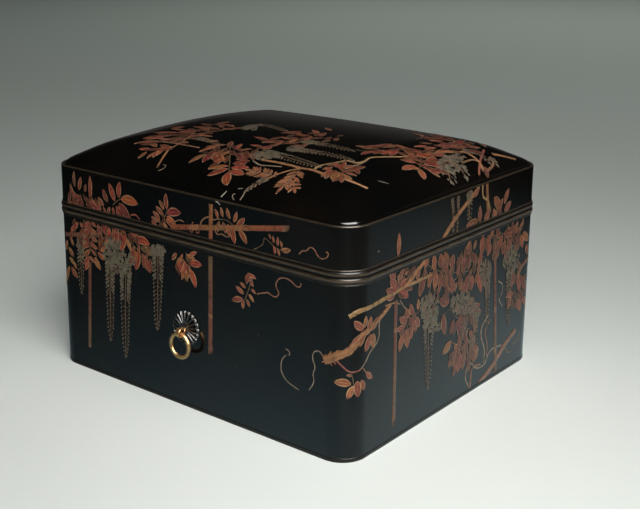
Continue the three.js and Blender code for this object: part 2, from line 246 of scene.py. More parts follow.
def buildStudio():
    # A round sheet of pale paper, lit by a soft pool of light round the box
    rings, around = studio["paperRings"], studio["paperPoints"]
    verts, faces = [(0, 0, 0)], []
    for r in rings:
        for i in range(around):
            t = 2 * math.pi * i / around
            verts.append((r * math.cos(t), r * math.sin(t), 0))
    for i in range(around):
        j = (i + 1) % around
        faces.append((0, 1 + i, 1 + j))
        for k in range(len(rings) - 1):
            a, b = 1 + k * around, 1 + (k + 1) * around
            faces.append((a + i, b + i, b + j, a + j))
    mesh = bpy.data.meshes.new("studioFloor")
    mesh.from_pydata(verts, [], faces)
    floor = bpy.data.objects.new("studioFloor", mesh)
    bpy.context.scene.collection.objects.link(floor)
    mat, nodes, links, shader = newMaterial("studio paper")
    shader.inputs["Roughness"].default_value = studio["paperRoughness"]
    shader.inputs["Specular IOR Level"].default_value = studio["paperSpecular"]
    shader.inputs["Base Color"].default_value = (*studio["paper"], 1)
    mesh.materials.append(mat)
    buildPaintedReflection()

    world = bpy.data.worlds.new("studio air")
    world.use_nodes = True
    nodes, links = world.node_tree.nodes, world.node_tree.links
    split = nodes.new("ShaderNodeSeparateXYZ")
    links.new(nodes.new("ShaderNodeTexCoord").outputs["Generated"], split.inputs["Vector"])
    air = ramp(nodes, links, split.outputs["Z"], studio["air"], smooth=True)
    links.new(air, nodes["Background"].inputs["Color"])
    bpy.context.scene.world = world
    for name, values in lamps.items():
        addLamp(name, *values)
    bpy.context.scene.view_settings.view_transform = "Standard"


buildStudio()
print("camera and studio ready")


boxSizes = {  # mm
    "length": 300,
    "depth": 260,
    "cornerRadius": 20,
    "seam": 131.5,
    "lidWallHeight": 34.5,
    "bodyWall": 7,
    "lidWall": 6.4,
    "rimHeight": 5.5,
    "seamGap": 0.3,
}
halfLength, halfDepth = boxSizes["length"] / 2, boxSizes["depth"] / 2
cornerRadius = boxSizes["cornerRadius"]
seam = boxSizes["seam"]
shoulder = seam + boxSizes["lidWallHeight"]
bodyRimLow = seam - boxSizes["rimHeight"]
lidRimLow = seam + boxSizes["seamGap"]
lidRimHigh = lidRimLow + boxSizes["rimHeight"]


def planLoop(inset, cornerSteps=18, sideSteps=6):
    # Points round the plan, front right corner first, at an inset from the outer face
    radius = max(cornerRadius - inset, 1)
    signs = [(1, -1), (1, 1), (-1, 1), (-1, -1)]
    corners = []
    for k, (sx, sy) in enumerate(signs):
        cx, cy = sx * (halfLength - inset - radius), sy * (halfDepth - inset - radius)
        arc = []
        for i in range(cornerSteps + 1):
            t = math.radians((k - 1) * 90 + 90 * i / cornerSteps)
            arc.append((cx + radius * math.cos(t), cy + radius * math.sin(t)))
        corners.append(arc)
    points = []
    for k in range(4):
        points += corners[k]
        (x0, y0), (x1, y1) = corners[k][-1], corners[(k + 1) % 4][0]
        for i in range(1, sideSteps):
            points.append((x0 + (x1 - x0) * i / sideSteps, y0 + (y1 - y0) * i / sideSteps))
    return points


domeShape = {  # mm, apart from the powers and shares
    "inset": 3.2,
    "step": 1.2,
    "rise": 26.6,
    "crownAlong": 0.1,  # share of the rise lost towards the ends, and towards front and back
    "crownAcross": 0.39,
    "shoulderRun": 56,
    "shoulderPower": 1.77,
    "cornerBlend": 3.87,
    "cornerTurn": 20,
}


def domeHeight(x, y):
    p = domeShape
    edgeX, edgeY = halfLength - p["inset"], halfDepth - p["inset"]
    run, join, power = p["shoulderRun"], p["cornerBlend"], p["shoulderPower"]
    nearX = max(0, 1 - (edgeX - abs(x)) / run)
    nearY = max(0, 1 - (edgeY - abs(y)) / run)
    near = (nearX**join + nearY**join) ** (1 / join)
    # at the corners the roll-off turns with the plan's arc
    radius = cornerRadius - p["inset"]
    overX, overY = abs(x) - edgeX + radius, abs(y) - edgeY + radius
    inside = min(edgeX - abs(x), edgeY - abs(y))
    if overX > 0 and overY > 0:
        inside = radius - math.hypot(overX, overY)
    near += (1 - inside / run - near) * max(0, 1 - inside / p["cornerTurn"]) ** 2
    near = min(1, near)
    crown = 1 - p["crownAlong"] * (x / edgeX) ** 2 - p["crownAcross"] * (y / edgeY) ** 2
    return p["rise"] * crown * (1 - near**power) ** (1 / power)


def domeTop(x, y):
    return shoulder + domeShape["step"] + domeHeight(x, y)


def addObject(name, verts, faces, material, body, slot, replaces=(), sharp=35):
    mesh = bpy.data.meshes.new(name)
    mesh.from_pydata([tuple(c * mm for c in v) for v in verts], [], faces)
    mesh.validate()
    mesh.materials.append(material)
    mesh.shade_smooth()
    if sharp:
        mesh.set_sharp_from_angle(angle=math.radians(sharp))
    obj = bpy.data.objects.new(name, mesh)
    bpy.context.scene.collection.objects.link(obj)
    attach(obj, body)
    if replaces:
        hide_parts(*replaces)
    return obj


def planLoops(section, sideSteps=6):
    # One loop round the plan for each (inset, height) point
    return [[(x, y, z) for x, y in planLoop(inset, sideSteps=sideSteps)] for inset, z in section]


def hoop(section):
    # A closed section carried round the plan
    return skin(planLoops(section), closed=True)


def skin(loops, closed=False, startCap=None, endCap=None):
    # Quads from loop to loop; a cap is the point that an end closes to
    count = len(loops[0])
    verts = [p for loop in loops for p in loop]
    faces = []
    rows = len(loops) if closed else len(loops) - 1
    for r in range(rows):
        a, b = r * count, ((r + 1) % len(loops)) * count
        for i in range(count):
            j = (i + 1) % count
            faces.append((a + i, a + j, b + j, b + i))
    for cap, row in ((startCap, 0), (endCap, len(loops) - 1)):
        if cap is not None:
            verts.append(cap)
            c = len(verts) - 1
            for i in range(count):
                a, b = row * count + i, row * count + (i + 1) % count
                faces.append((b, a, c) if row == 0 else (a, b, c))
    return verts, faces


def halfRound(low, high, bulge, steps):
    middle, half = (low + high) / 2, (high - low) / 2
    turns = [math.radians(-90 + 180 * i / steps) for i in range(steps + 1)]
    return [(-bulge * math.cos(t), middle + half * math.sin(t)) for t in turns]


lacquerLook = {
    "colour": [(0.35, (0.0014, 0.0015, 0.0014)), (0.75, (0.005, 0.0033, 0.0022))],  # black, with a breath of brown
    "clouds": (14, 5),  # scale and detail
    "rubs": (60, 6),
    "roughness": (0.1, 0.2),
    "ripples": (22, 2),
    "rippleStrength": 0.02,
    "rippleHeight": 0.002,
    "ior": 1.4,
}


def lacquerMaterial(name, look):
    mat, nodes, links, shader = newMaterial(name)
    place = objectPlace(nodes)
    cloud = noise(nodes, links, place, *look["clouds"])
    links.new(ramp(nodes, links, cloud, look["colour"]), shader.inputs["Base Color"])
    rub = noise(nodes, links, place, *look["rubs"])
    links.new(spread(nodes, links, rub, look["roughness"]), shader.inputs["Roughness"])
    shader.inputs["IOR"].default_value = look["ior"]
    bump = nodes.new("ShaderNodeBump")
    bump.inputs["Strength"].default_value = look["rippleStrength"]
    bump.inputs["Distance"].default_value = look["rippleHeight"]
    links.new(noise(nodes, links, place, *look["ripples"]), bump.inputs["Height"])
    links.new(bump.outputs["Normal"], shader.inputs["Normal"])
    return mat


blackLacquer = lacquerMaterial("black lacquer", lacquerLook)


edgeLook = {
    "ground": (0.006, 0.0045, 0.0035),
    # also the colour of the painted highlight and reflection bands
    "gold": (0.14, 0.1, 0.062),
    "worn": [(0.3, 0.25), (0.52, 0.8), (0.7, 1)],
    "rubs": (110, 8, 0.6),  # scale, detail, roughness
    "rubStretch": (1, 1, 5),
    "metallic": 0.3,
    "roughness": 0.3,
    "ior": 1.4,
}


def edgeMaterial(name, low, high, stops):
    # Bands along the crests of a moulding, mixed toward gold: worn gold dust, and on the rims and the foot also
    # painted highlight and painted reflection; stops are (mm above low, share of gold)
    look = edgeLook
    mat, nodes, links, shader = newMaterial(name)
    place = objectPlace(nodes)
    split = nodes.new("ShaderNodeSeparateXYZ")
    links.new(place, split.inputs["Vector"])
    height = nodes.new("ShaderNodeMapRange")
    height.inputs["From Min"].default_value, height.inputs["From Max"].default_value = low * mm, high * mm
    links.new(split.outputs["Z"], height.inputs["Value"])
    goldAndPaintedLightBands = ramp(nodes, links, height.outputs["Result"], [(up / (high - low), share) for up, share in stops])
    stretch = nodes.new("ShaderNodeMapping")
    stretch.inputs["Scale"].default_value = look["rubStretch"]
    links.new(place, stretch.inputs["Vector"])
    worn = ramp(nodes, links, noise(nodes, links, stretch.outputs["Vector"], *look["rubs"]), look["worn"])
    share = blend(nodes, links, 1, goldAndPaintedLightBands, worn, "MULTIPLY")
    links.new(blend(nodes, links, share, look["ground"], look["gold"]), shader.inputs["Base Color"])
    shader.inputs["Metallic"].default_value = look["metallic"]
    shader.inputs["Roughness"].default_value = look["roughness"]
    shader.inputs["IOR"].default_value = look["ior"]
    return mat


# On both rims the bright bands lie along the beads' highlight lines: worn gold with a painted highlight
bodyEdgeGoldAndHighlightStops = [(0, 0.05), (0.9, 0.2), (1.5, 0.03), (3, 0.25), (3.6, 1), (4.4, 0.3), (5.5, 0)]
lidEdgeGoldAndHighlightStops = [(0, 0), (1.3, 0.08), (1.9, 0.75), (2.6, 0.5), (3.2, 0.03), (4.4, 0.02), (5, 0.55), (5.5, 0.08)]
bodyEdge = edgeMaterial("worn gold, body edge", bodyRimLow, seam, bodyEdgeGoldAndHighlightStops)
lidEdge = edgeMaterial("worn gold and painted highlight lines, lid edge", lidRimLow, lidRimHigh, lidEdgeGoldAndHighlightStops)
beadEdge = edgeMaterial("worn shoulder bead", shoulder - 1, shoulder + 2, [(0, 0.2), (1.3, 0.35), (2.1, 0.25)])
# The foot's lower band is lighter: partly wear, partly a painted reflection of the floor
footEdge = edgeMaterial("worn foot with painted floor reflection", 0, 4, [(0, 0.2), (1.6, 0.12), (2.6, 0)])
flangeEdge = edgeMaterial("gold tray flange", 0, 400, [(0, 0.9), (400, 0.9)])


sprinkleLook = {
    "ground": (0.022, 0.009, 0.005),
    "gold": (0.5, 0.33, 0.12),
    "flakes": 900,
    "flakeEdge": [(0.16, 1), (0.3, 0)],
    "flakeShare": [(0.45, 0), (0.6, 1)],
    "roughness": 0.22,
    "coat": 0.6,
    "coatRoughness": 0.12,
}


def sprinkledMaterial(look):
    # Gold flakes sprinkled in dark brown lacquer, as inside such boxes
    mat, nodes, links, shader = newMaterial("sprinkled gold lacquer")
    flakes = nodes.new("ShaderNodeTexVoronoi")
    flakes.inputs["Scale"].default_value = look["flakes"]
    flakes.feature = "F1"
    links.new(objectPlace(nodes), flakes.inputs["Vector"])
    size = ramp(nodes, links, flakes.outputs["Distance"], look["flakeEdge"])
    some = ramp(nodes, links, flakes.outputs["Color"], look["flakeShare"])
    both = blend(nodes, links, 1, size, some, "MULTIPLY")
    links.new(blend(nodes, links, both, look["ground"], look["gold"]), shader.inputs["Base Color"])
    shader.inputs["Roughness"].default_value = look["roughness"]
    shader.inputs["Coat Weight"].default_value = look["coat"]
    shader.inputs["Coat Roughness"].default_value = look["coatRoughness"]
    return mat


sprinkledLacquer = sprinkledMaterial(sprinkleLook)


metalLooks = {
    "dark silver": {
        "stain": [(0.3, (0.06, 0.055, 0.05)), (0.6, (0.17, 0.165, 0.155))],
        "stains": (700, 6),  # scale and detail
        "roughness": (0.3, 0.5),
        "hollow": (0.012, 0.011, 0.01),  # the dark left in the hollows
    },
    "gilt": {
        "stain": [(0.3, (0.5, 0.26, 0.1)), (0.6, (0.74, 0.45, 0.2))],
        "stains": (350, 6),
        "roughness": (0.3, 0.48),
    },
}


def metalMaterial(name):
    look = metalLooks[name]
    mat, nodes, links, shader = newMaterial(name)
    stain = noise(nodes, links, objectPlace(nodes), *look["stains"])
    colour = ramp(nodes, links, stain, look["stain"])
    if "hollow" in look:
        colour = blend(nodes, links, attribute(nodes, "hollow")["Fac"], colour, look["hollow"])
    links.new(colour, shader.inputs["Base Color"])
    shader.inputs["Metallic"].default_value = 1
    links.new(spread(nodes, links, stain, look["roughness"]), shader.inputs["Roughness"])
    return mat


darkSilver, gilt = metalMaterial("dark silver"), metalMaterial("gilt")
print("finishes ready")


sides = ("front", "back", "left", "right")
cornerNames = ("front_left", "front_right", "back_left", "back_right")


bodySizes = {  # mm
    "footHeight": 3,
    "footBulge": 0.3,
    "footInset": 0.5,
    "footDepth": 12,
    "baseThickness": 6,
    "rabbet": 2.4,
    "floorInsets": (4.6, 9, 14),
    "floorGap": 0.02,
    "wallGap": 0.3,
}


def buildBody():
    p, wall, foot = bodySizes, boxSizes["bodyWall"], bodySizes["footHeight"]
    floorTop, under, rabbet = foot + p["baseThickness"], foot + p["floorGap"], wall - p["rabbet"]
    ledge = floorTop + p["wallGap"]
    section = [(0, foot), (0, bodyRimLow), (wall, bodyRimLow), (wall, ledge), (rabbet, ledge), (rabbet, foot)]
    bodyNodes = [f"body_{s}_board" for s in sides] + [f"body_{c}_corner" for c in cornerNames]
    addObject("bodyWall", *hoop(section), blackLacquer, "box", "black_lacquer", bodyNodes)
    loops = planLoops([(p["floorInsets"][0], under)] + [(inset, floorTop) for inset in p["floorInsets"]])
    verts, faces = skin(loops, startCap=(0, 0, under), endCap=(0, 0, floorTop))
    addObject("bodyFloor", verts, faces, sprinkledLacquer, "box", "black_lacquer", ["base_board"])
    bead = halfRound(0, foot, p["footBulge"], 8)[1:]
    footSection = [(p["footInset"], 0), *bead, (p["footDepth"], foot), (p["footDepth"], 0)]
    addObject("footBead", *hoop(footSection), footEdge, "box", "black_lacquer", ["foot_rim"])


rimSizes = {  # mm
    "bulge": 1.3,
    "filletHeight": 1.3,
    "filletBulge": 0.6,
    "shoulderBead": 2.4,
    "shoulderBeadRise": 1.1,
}


def buildRims():
    p, wall, lidWall = rimSizes, boxSizes["bodyWall"], boxSizes["lidWall"]
    rise, bulge, small = p["filletHeight"], p["bulge"], p["filletBulge"]
    section = halfRound(bodyRimLow, bodyRimLow + rise, small, 6) + halfRound(bodyRimLow + rise, seam, bulge, 12)[1:]
    section += [(wall, seam), (wall, bodyRimLow)]
    addObject("bodyRim", *hoop(section), bodyEdge, "box", "gold_lacquer", ["body_rim"])
    step = lidRimHigh - rise
    section = halfRound(lidRimLow, step, bulge, 12) + halfRound(step, lidRimHigh, small, 6)[1:]
    section += [(lidWall, lidRimHigh), (lidWall, lidRimLow)]
    addObject("lidRim", *hoop(section), lidEdge, "lid", "gold_lacquer", ["lid_rim"])
    half, up = p["shoulderBead"] / 2, p["shoulderBeadRise"]
    turns = [math.pi * i / 10 for i in range(11)]
    bead = [(half * (1 - math.cos(t)), shoulder + up * math.sin(t)) for t in turns]
    addObject("shoulderBead", *hoop(bead), beadEdge, "lid", "gold_lacquer", ["lid_shoulder_bead"])


lipSizes = {"rise": 13, "drop": 24, "thickness": 3.4, "gap": 0.3, "round": 1.2}  # mm
lipOuter = boxSizes["bodyWall"] + lipSizes["gap"]
lipInner = lipOuter + lipSizes["thickness"]


def buildLip():
    low, edge = seam - lipSizes["drop"], seam + lipSizes["rise"] - lipSizes["round"]
    middle, half = (lipOuter + lipInner) / 2, (lipInner - lipOuter) / 2
    turns = [math.pi * i / 8 for i in range(1, 9)]
    section = [(lipOuter, low), (lipOuter, edge)]
    section += [(middle - half * math.cos(t), edge + lipSizes["round"] * math.sin(t)) for t in turns]
    section.append((lipInner, low))
    nodes = [f"lip_{s}_strip" for s in sides]
    addObject("bodyLip", *hoop(section), blackLacquer, "box", "black_lacquer", nodes)


lidShape = {  # mm, apart from the shares of the plan
    "sideSteps": 40,  # close enough for the dome's roll-off
    "wallBreak": 8,
    "runs": (0.12, 0.35, 0.75, 1.3, 2.1, 3.1, 4.4, 6, 8, 10.2),  # inwards from the dome's edge
    "shares": (
        0.98, 0.957, 0.93, 0.9, 0.87, 0.835, 0.8, 0.76, 0.72, 0.67, 0.62, 0.56, 0.5, 0.42, 0.34, 0.25, 0.16, 0.07
    ),
    "ceiling": 7.5,
    "ceilingInset": 13.5,
    "ceilingShares": (0.1, 0.3, 0.5, 0.65, 0.78, 0.88, 0.95, 1),
    "ledgeDepth": 3,
    "underCorner": ((8.2, 0), (7.0, 0.5), (boxSizes["lidWall"], 1.6)),  # inset, and depth under the ledge
}


def buildLid():
    # Outer wall, ledge and dome as one lacquered skin, and the hollow underside as another
    p, inset, wall = lidShape, domeShape["inset"], boxSizes["lidWall"]
    steps, off = p["sideSteps"], p["wallBreak"]
    section = [(wall, lidRimHigh), (0, lidRimHigh), (0, lidRimHigh + off), (0, shoulder - off), (0, shoulder)]
    section += [(inset, shoulder), (inset, shoulder + domeShape["step"])]
    loops = planLoops(section, steps)
    for run in p["runs"]:
        inner = planLoop(inset + run, sideSteps=steps)
        loops.append([(x, y, domeTop(x, y)) for x, y in inner])
    for share in p["shares"]:
        loops.append([(x * share, y * share, domeTop(x * share, y * share)) for x, y in inner])
    verts, faces = skin(loops, endCap=(0, 0, domeTop(0, 0)))
    nodes = [f"lid_{s}_board" for s in sides] + [f"lid_{c}_corner" for c in cornerNames] + ["lid_top_board"]
    addObject("lidShell", verts, faces, blackLacquer, "lid", "black_lacquer", nodes, sharp=50)
    under, thick, ledge = [], p["ceiling"], shoulder - p["ledgeDepth"]
    inner = planLoop(p["ceilingInset"], sideSteps=steps)
    for share in p["ceilingShares"]:
        under.append([(x * share, y * share, max(ledge, domeTop(x * share, y * share) - thick)) for x, y in inner])
    under += planLoops([(i, ledge - down) for i, down in p["underCorner"]] + [(wall, lidRimHigh)], steps)
    verts, faces = skin(under, startCap=(0, 0, domeTop(0, 0) - thick))
    addObject("lidCeiling", verts, faces, sprinkledLacquer, "lid", "black_lacquer", sharp=50)


traySizes = {  # mm
    "gap": 0.8,
    "wall": 3,
    "depth": 30,
    "flange": 2.2,
    "flangeInset": 0.6,
    "floor": 3,
    "outsideRound": ((1.2, 0), (0.3, 0.3), (0, 1.2)),  # inset, and height over the bottom
    "insideRound": ((0, 2.2), (0.6, 0.7), (2.2, 0), (6, 0)),
    "insideLimit": 18.5,  # the corner's arc is used up beyond this inset
    "outerEdge": 0.7,
    "innerEdge": 1.1,
}


def buildTray():
    p, flangeLow = traySizes, seam + lipSizes["rise"]
    outer = lipInner + p["gap"]
    inner, low, top = outer + p["wall"], flangeLow - p["depth"], flangeLow + p["flange"]
    loops = planLoops([(outer + i, low + z) for i, z in p["outsideRound"]] + [(outer, flangeLow)])
    verts, faces = skin(loops, startCap=(0, 0, low))
    addObject("trayOutside", verts, faces, blackLacquer, "tray", "black_lacquer", ["tray_wall"])
    floorTop = low + p["floor"]
    curve = [(min(inner + i, p["insideLimit"]), floorTop + z) for i, z in p["insideRound"]]
    verts, faces = skin(planLoops([(inner, flangeLow)] + curve), endCap=(0, 0, floorTop))
    addObject("trayInside", verts, faces, sprinkledLacquer, "tray", "black_lacquer", ["tray_floor"])
    edge, a, b = boxSizes["bodyWall"] + p["flangeInset"], p["outerEdge"], p["innerEdge"]
    section = [(edge, flangeLow), (edge, top - a)]
    for t in map(math.radians, (30, 60, 90)):
        section.append((edge + a - a * math.cos(t), top - a + a * math.sin(t)))
    for t in map(math.radians, (0, 30, 60, 90)):
        section.append((inner - b + b * math.sin(t), top - b + b * math.cos(t)))
    section.append((inner, flangeLow))
    addObject("trayFlange", *hoop(section), flangeEdge, "tray", "gold_lacquer", ["tray_flange"])


buildBody()
buildRims()
buildLip()
buildLid()
buildTray()
print("carcass built")


cornerArc = math.pi / 2 * cornerRadius
frontRun, sideRun = boxSizes["length"] - 2 * cornerRadius, boxSizes["depth"] - 2 * cornerRadius
girth = 2 * (frontRun + sideRun + 2 * cornerArc)
wallStarts = (
    (-frontRun / 2, -halfDepth), (halfLength, -sideRun / 2), (frontRun / 2, halfDepth), (-halfLength, sideRun / 2)
)


def onWall(s, z, lift):
    # s runs round the outside from the middle of the front towards the right
    s = (s + frontRun / 2) % girth
    for side, (x, y) in enumerate(wallStarts):
        run = sideRun if side % 2 else frontRun
        quarter = math.radians(90 * side)
        along, out = (math.cos(quarter), math.sin(quarter)), (math.sin(quarter), -math.cos(quarter))
        if s <= run:
            return x + along[0] * s + out[0] * lift, y + along[1] * s + out[1] * lift, z
        if s <= run + cornerArc:
            turn, reach = (s - run) / cornerRadius, cornerRadius + lift
            cx, cy = x + along[0] * run - out[0] * cornerRadius, y + along[1] * run - out[1] * cornerRadius
            c, t = math.cos(turn) * reach, math.sin(turn) * reach
            return cx + out[0] * c + along[0] * t, cy + out[1] * c + along[1] * t, z
        s -= run + cornerArc


domeMargin, slopeRun = 0.25, 0.4  # mm


def onDome(x, y, lift):
    # Points past the dome's edge are drawn in to it
    reach = domeShape["inset"] + domeMargin
    radius = cornerRadius - domeShape["inset"] - domeMargin
    x = max(reach - halfLength, min(halfLength - reach, x))
    y = max(reach - halfDepth, min(halfDepth - reach, y))
    overX, overY = abs(x) - frontRun / 2, abs(y) - sideRun / 2
    if overX > 0 and overY > 0 and math.hypot(overX, overY) > radius:
        shrink = radius / math.hypot(overX, overY)
        x, y = math.copysign(frontRun / 2 + overX * shrink, x), math.copysign(sideRun / 2 + overY * shrink, y)
    inX, inY = math.copysign(slopeRun, -x), math.copysign(slopeRun, -y)
    z = domeTop(x, y)
    slopeX, slopeY = (domeTop(x + inX, y) - z) / inX, (domeTop(x, y + inY) - z) / inY
    size = math.sqrt(slopeX**2 + slopeY**2 + 1) / lift
    return x - slopeX / size, y - slopeY / size, z + 1 / size


paints = {  # linear colour, metal share
    "outline": (0.52, 0.3, 0.14, 0.3),
    "gap": (0.012, 0.008, 0.006, 0.0),
    # mixed into the leaves on the right and left walls, which makes them browner and flatter
    "endWallBrown": (0.15, 0.09, 0.05, 0.1),
    "stem": (0.02, 0.022, 0.012, 0.1),
    "vine": (0.2, 0.09, 0.05, 0.2),
    "crimson": (0.2, 0.02, 0.02, 0.0),
    "tendril": (0.24, 0.09, 0.06, 0.2),
    "pale": (0.24, 0.2, 0.15, 0.3),
    "gold": (0.34, 0.2, 0.08, 0.4),
    "branch": (0.3, 0.12, 0.045, 0.2),
    "trunk": (0.2, 0.08, 0.05, 0.2),
    "poleEdge": (0.09, 0.032, 0.02, 0.15),
    "poleFace": (0.165, 0.06, 0.036, 0.2),
    "poleWorn": (0.17, 0.11, 0.055, 0.3),
    "chip": (0.5, 0.48, 0.4, 0.0),
    "flowerStem": (0.045, 0.022, 0.012, 0.2),
    "flowerDark": (0.045, 0.032, 0.022, 0.2),
    "flowerGold": (0.2, 0.125, 0.07, 0.35),
    "flowerPale": (0.21, 0.178, 0.118, 0.3),
    "flowerMauve": (0.125, 0.088, 0.062, 0.25),
}
leafShades = [
    (0.0, (0.15, 0.006, 0.014)),
    (0.2, (0.2, 0.009, 0.014)),
    (0.4, (0.25, 0.022, 0.01)),
    (0.6, (0.27, 0.06, 0.014)),
    (0.8, (0.25, 0.1, 0.025)),
    (1.0, (0.17, 0.12, 0.034)),
]
# painted shade: each face's paint is dimmed to the light that falls on that face
paintedFaceShade = {"Front": 0.92, "Right": 0.66, "Back": 0.9, "Left": 0.8}


def mixed(a, b, share):
    return tuple(p + (q - p) * share for p, q in zip(a, b))


def dimmed(colour, share):
    # The metal share, last of the four, stays
    return (*(c * share for c in colour[:3]), colour[3])


def rotated(du, dv, turn):
    c, s = math.cos(turn), math.sin(turn)
    return du * c - dv * s, du * s + dv * c


def beside(u, v, du, dv, along, across):
    # A point so far along a direction and to the left of it
    return u + du * along - dv * across, v + dv * along + du * across


def leafShade(tone):
    tone = min(1, max(0, tone))
    for (low, a), (high, b) in zip(leafShades, leafShades[1:]):
        if tone <= high:
            return (*mixed(a, b, (tone - low) / (high - low)), 0.05)


sheets = {}


def patch(pen, layer, rows):
    # rows of (u, v, lift, colour) become a small sheet of quads
    face = pen["face"](rows[len(rows) // 2][0][0])
    sheet = sheets.setdefault((pen["part"], face, layer), {"verts": [], "faces": [], "paint": [], "flat": []})
    low, high = pen["limits"]
    # painted shade: the paint is dimmed by its face, or by the pen's own factor
    paintedShade = pen.get("paintedShade") or paintedFaceShade[face]
    start, count = len(sheet["verts"]), len(rows[0])
    for row in rows:
        for u, v, lift, colour in row:
            v = min(high, max(low, v))
            sheet["verts"].append(pen["surface"](u, v, lift))
            sheet["flat"].append((u, v))
            sheet["paint"].append(dimmed(colour, paintedShade))
    for r in range(len(rows) - 1):
        for c in range(count - 1):
            a = start + r * count + c
            sheet["faces"].append((a, a + 1, a + count + 1, a + count))


leafForm = {
    "endWalls": (1.52, 0.6, 0.3),  # plumpness, widest share of the length, share mixed toward brown
    "elsewhere": (1.32, 0.52, 0.0),
    "bend": 0.06,
    "lift": (0.14, 0.02, 6),  # mm, and a number of small steps, so that leaves overlap
    "shift": 0.12,  # of tone: across, as a whole, and from base to tip
    "hue": 0.14,
    "fade": 0.35,
    "light": (0.62, 1.2),
    "rim": (0.27, 1.2),  # most share of the half width, and mm
    "line": (0.52, 2.5),
    "rib": (0.045, 0.09),
    "lineGold": 0.85,
    "ribGold": 0.45,
    "stations": (0, 0.05, 0.15, 0.3, 0.45, 0.6, 0.75, 0.87, 0.95, 1),
    "taper": (0.72, 0.82),
    "taperPeak": 0.3437,
    "arch": 0.2,
}


def drawLeaf(pen, u0, v0, u1, v1, width, tone, rng, dim=1.0):
    p = leafForm
    length = math.hypot(u1 - u0, v1 - v0)
    du, dv = (u1 - u0) / length, (v1 - v0) / length
    onEnd = pen["face"](u0) in ("Right", "Left") and "paintedShade" not in pen
    plump, widest, endWallBrown = p["endWalls" if onEnd else "elsewhere"]
    width = min(width * plump, length * widest)
    lift, step, levels = p["lift"]
    bend, base = rng.uniform(-p["bend"], p["bend"]) * length, lift + step * rng.randrange(levels)
    shift, hue, fade = (rng.uniform(-p[k], p[k]) for k in ("shift", "hue", "fade"))
    light = rng.uniform(*p["light"])
    rim, line = (min(most, wide / width) for most, wide in (p["rim"], p["line"]))
    right = (*p["rib"], 0.96 - line, 1 - line, 0.97 - rim, 1 - rim, 1)
    rows = []
    for t in p["stations"]:
        half = width / 2 * t ** p["taper"][0] * (1 - t) ** p["taper"][1] / p["taperPeak"]
        aside = bend * 4 * t * (1 - t)
        row = []
        for a in (*(-a for a in reversed(right)), *right):
            fill = leafShade(tone + hue + fade * (t - 0.5) + shift * a)
            colour = dimmed(mixed(fill, paints["endWallBrown"], endWallBrown), light)
            if abs(a) > 0.99 - rim:
                colour = paints["gap"]
            elif abs(a) > 0.99 - line or t in (0, 1):
                colour = mixed(colour, paints["outline"], p["lineGold"])
            elif abs(a) < 0.05 and t < 0.9:
                colour = mixed(colour, paints["outline"], p["ribGold"])
            u, v = beside(u0, v0, du, dv, length * t, aside + half * a)
            row.append((u, v, base + p["arch"] * (1 - a * a), dimmed(colour, dim)))
        rows.append(row)
    patch(pen, "Leaves", rows)


scatterForm = {
    "turn": 2.4,  # radians from leaf to leaf round the middle
    "wander": 0.4,
    "swing": 40,  # degrees
    "size": (0.75, 1.15),
    "tone": (-0.2, 0.25),
    "dim": (0.35, 0.75),
}


def scatterLeaves(pen, u, v, reachU, reachV, count, length, width, tone, lean, rng):
    # Dim leaves behind the drawn ones; lean is the way they point, in degrees
    p = scatterForm
    for k in range(count):
        r, t = math.sqrt((k + 0.5) / count), k * p["turn"] + rng.uniform(-p["wander"], p["wander"])
        cu, cv = u + reachU * r * math.cos(t), v + reachV * r * math.sin(t)
        turn, size = math.radians(lean + rng.uniform(-p["swing"], p["swing"])), rng.uniform(*p["size"])
        du, dv = math.cos(turn) * length * size / 2, math.sin(turn) * length * size / 2
        ends = (cu - du, cv - dv, cu + du, cv + dv)
        drawLeaf(pen, *ends, width, tone + rng.uniform(*p["tone"]), rng, dim=rng.uniform(*p["dim"]))


def smoothPath(points, step, parts=12):
    # Evenly spaced points on a smooth curve through the given ones, with directions
    padded = [points[0], *points, points[-1]]
    fine = []
    for i in range(1, len(padded) - 2):
        spans = list(zip(*padded[i - 1 : i + 3]))
        for k in range(parts):
            t = k / parts
            fine.append([
                0.5 * (2 * b + (c - a) * t + (2 * a - 5 * b + 4 * c - d) * t * t + (3 * b - a - 3 * c + d) * t**3)
                for a, b, c, d in spans
            ])
    fine.append(points[-1])
    lengths = [0]
    for a, b in zip(fine, fine[1:]):
        lengths.append(lengths[-1] + math.hypot(b[0] - a[0], b[1] - a[1]))
    total, count = lengths[-1], max(2, round(lengths[-1] / step))
    result, k = [], 0
    for i in range(count + 1):
        target = total * i / count
        while k < len(fine) - 2 and lengths[k + 1] < target:
            k += 1
        share = (target - lengths[k]) / max(1e-6, lengths[k + 1] - lengths[k])
        (u, v), (nextU, nextV) = fine[k], fine[k + 1]
        du, dv = nextU - u, nextV - v
        long = max(1e-6, math.hypot(du, dv))
        result.append((u + du * share, v + dv * share, du / long, dv / long))
    return result


strokeForm = {
    "steps": (1.6, 1.2),  # mm from row to row of a thin stroke and of a wide one
    "wide": 2,
    "streak": 0.25,
    "arch": (0.35, 0.3),  # most mm, and share of the half width
}


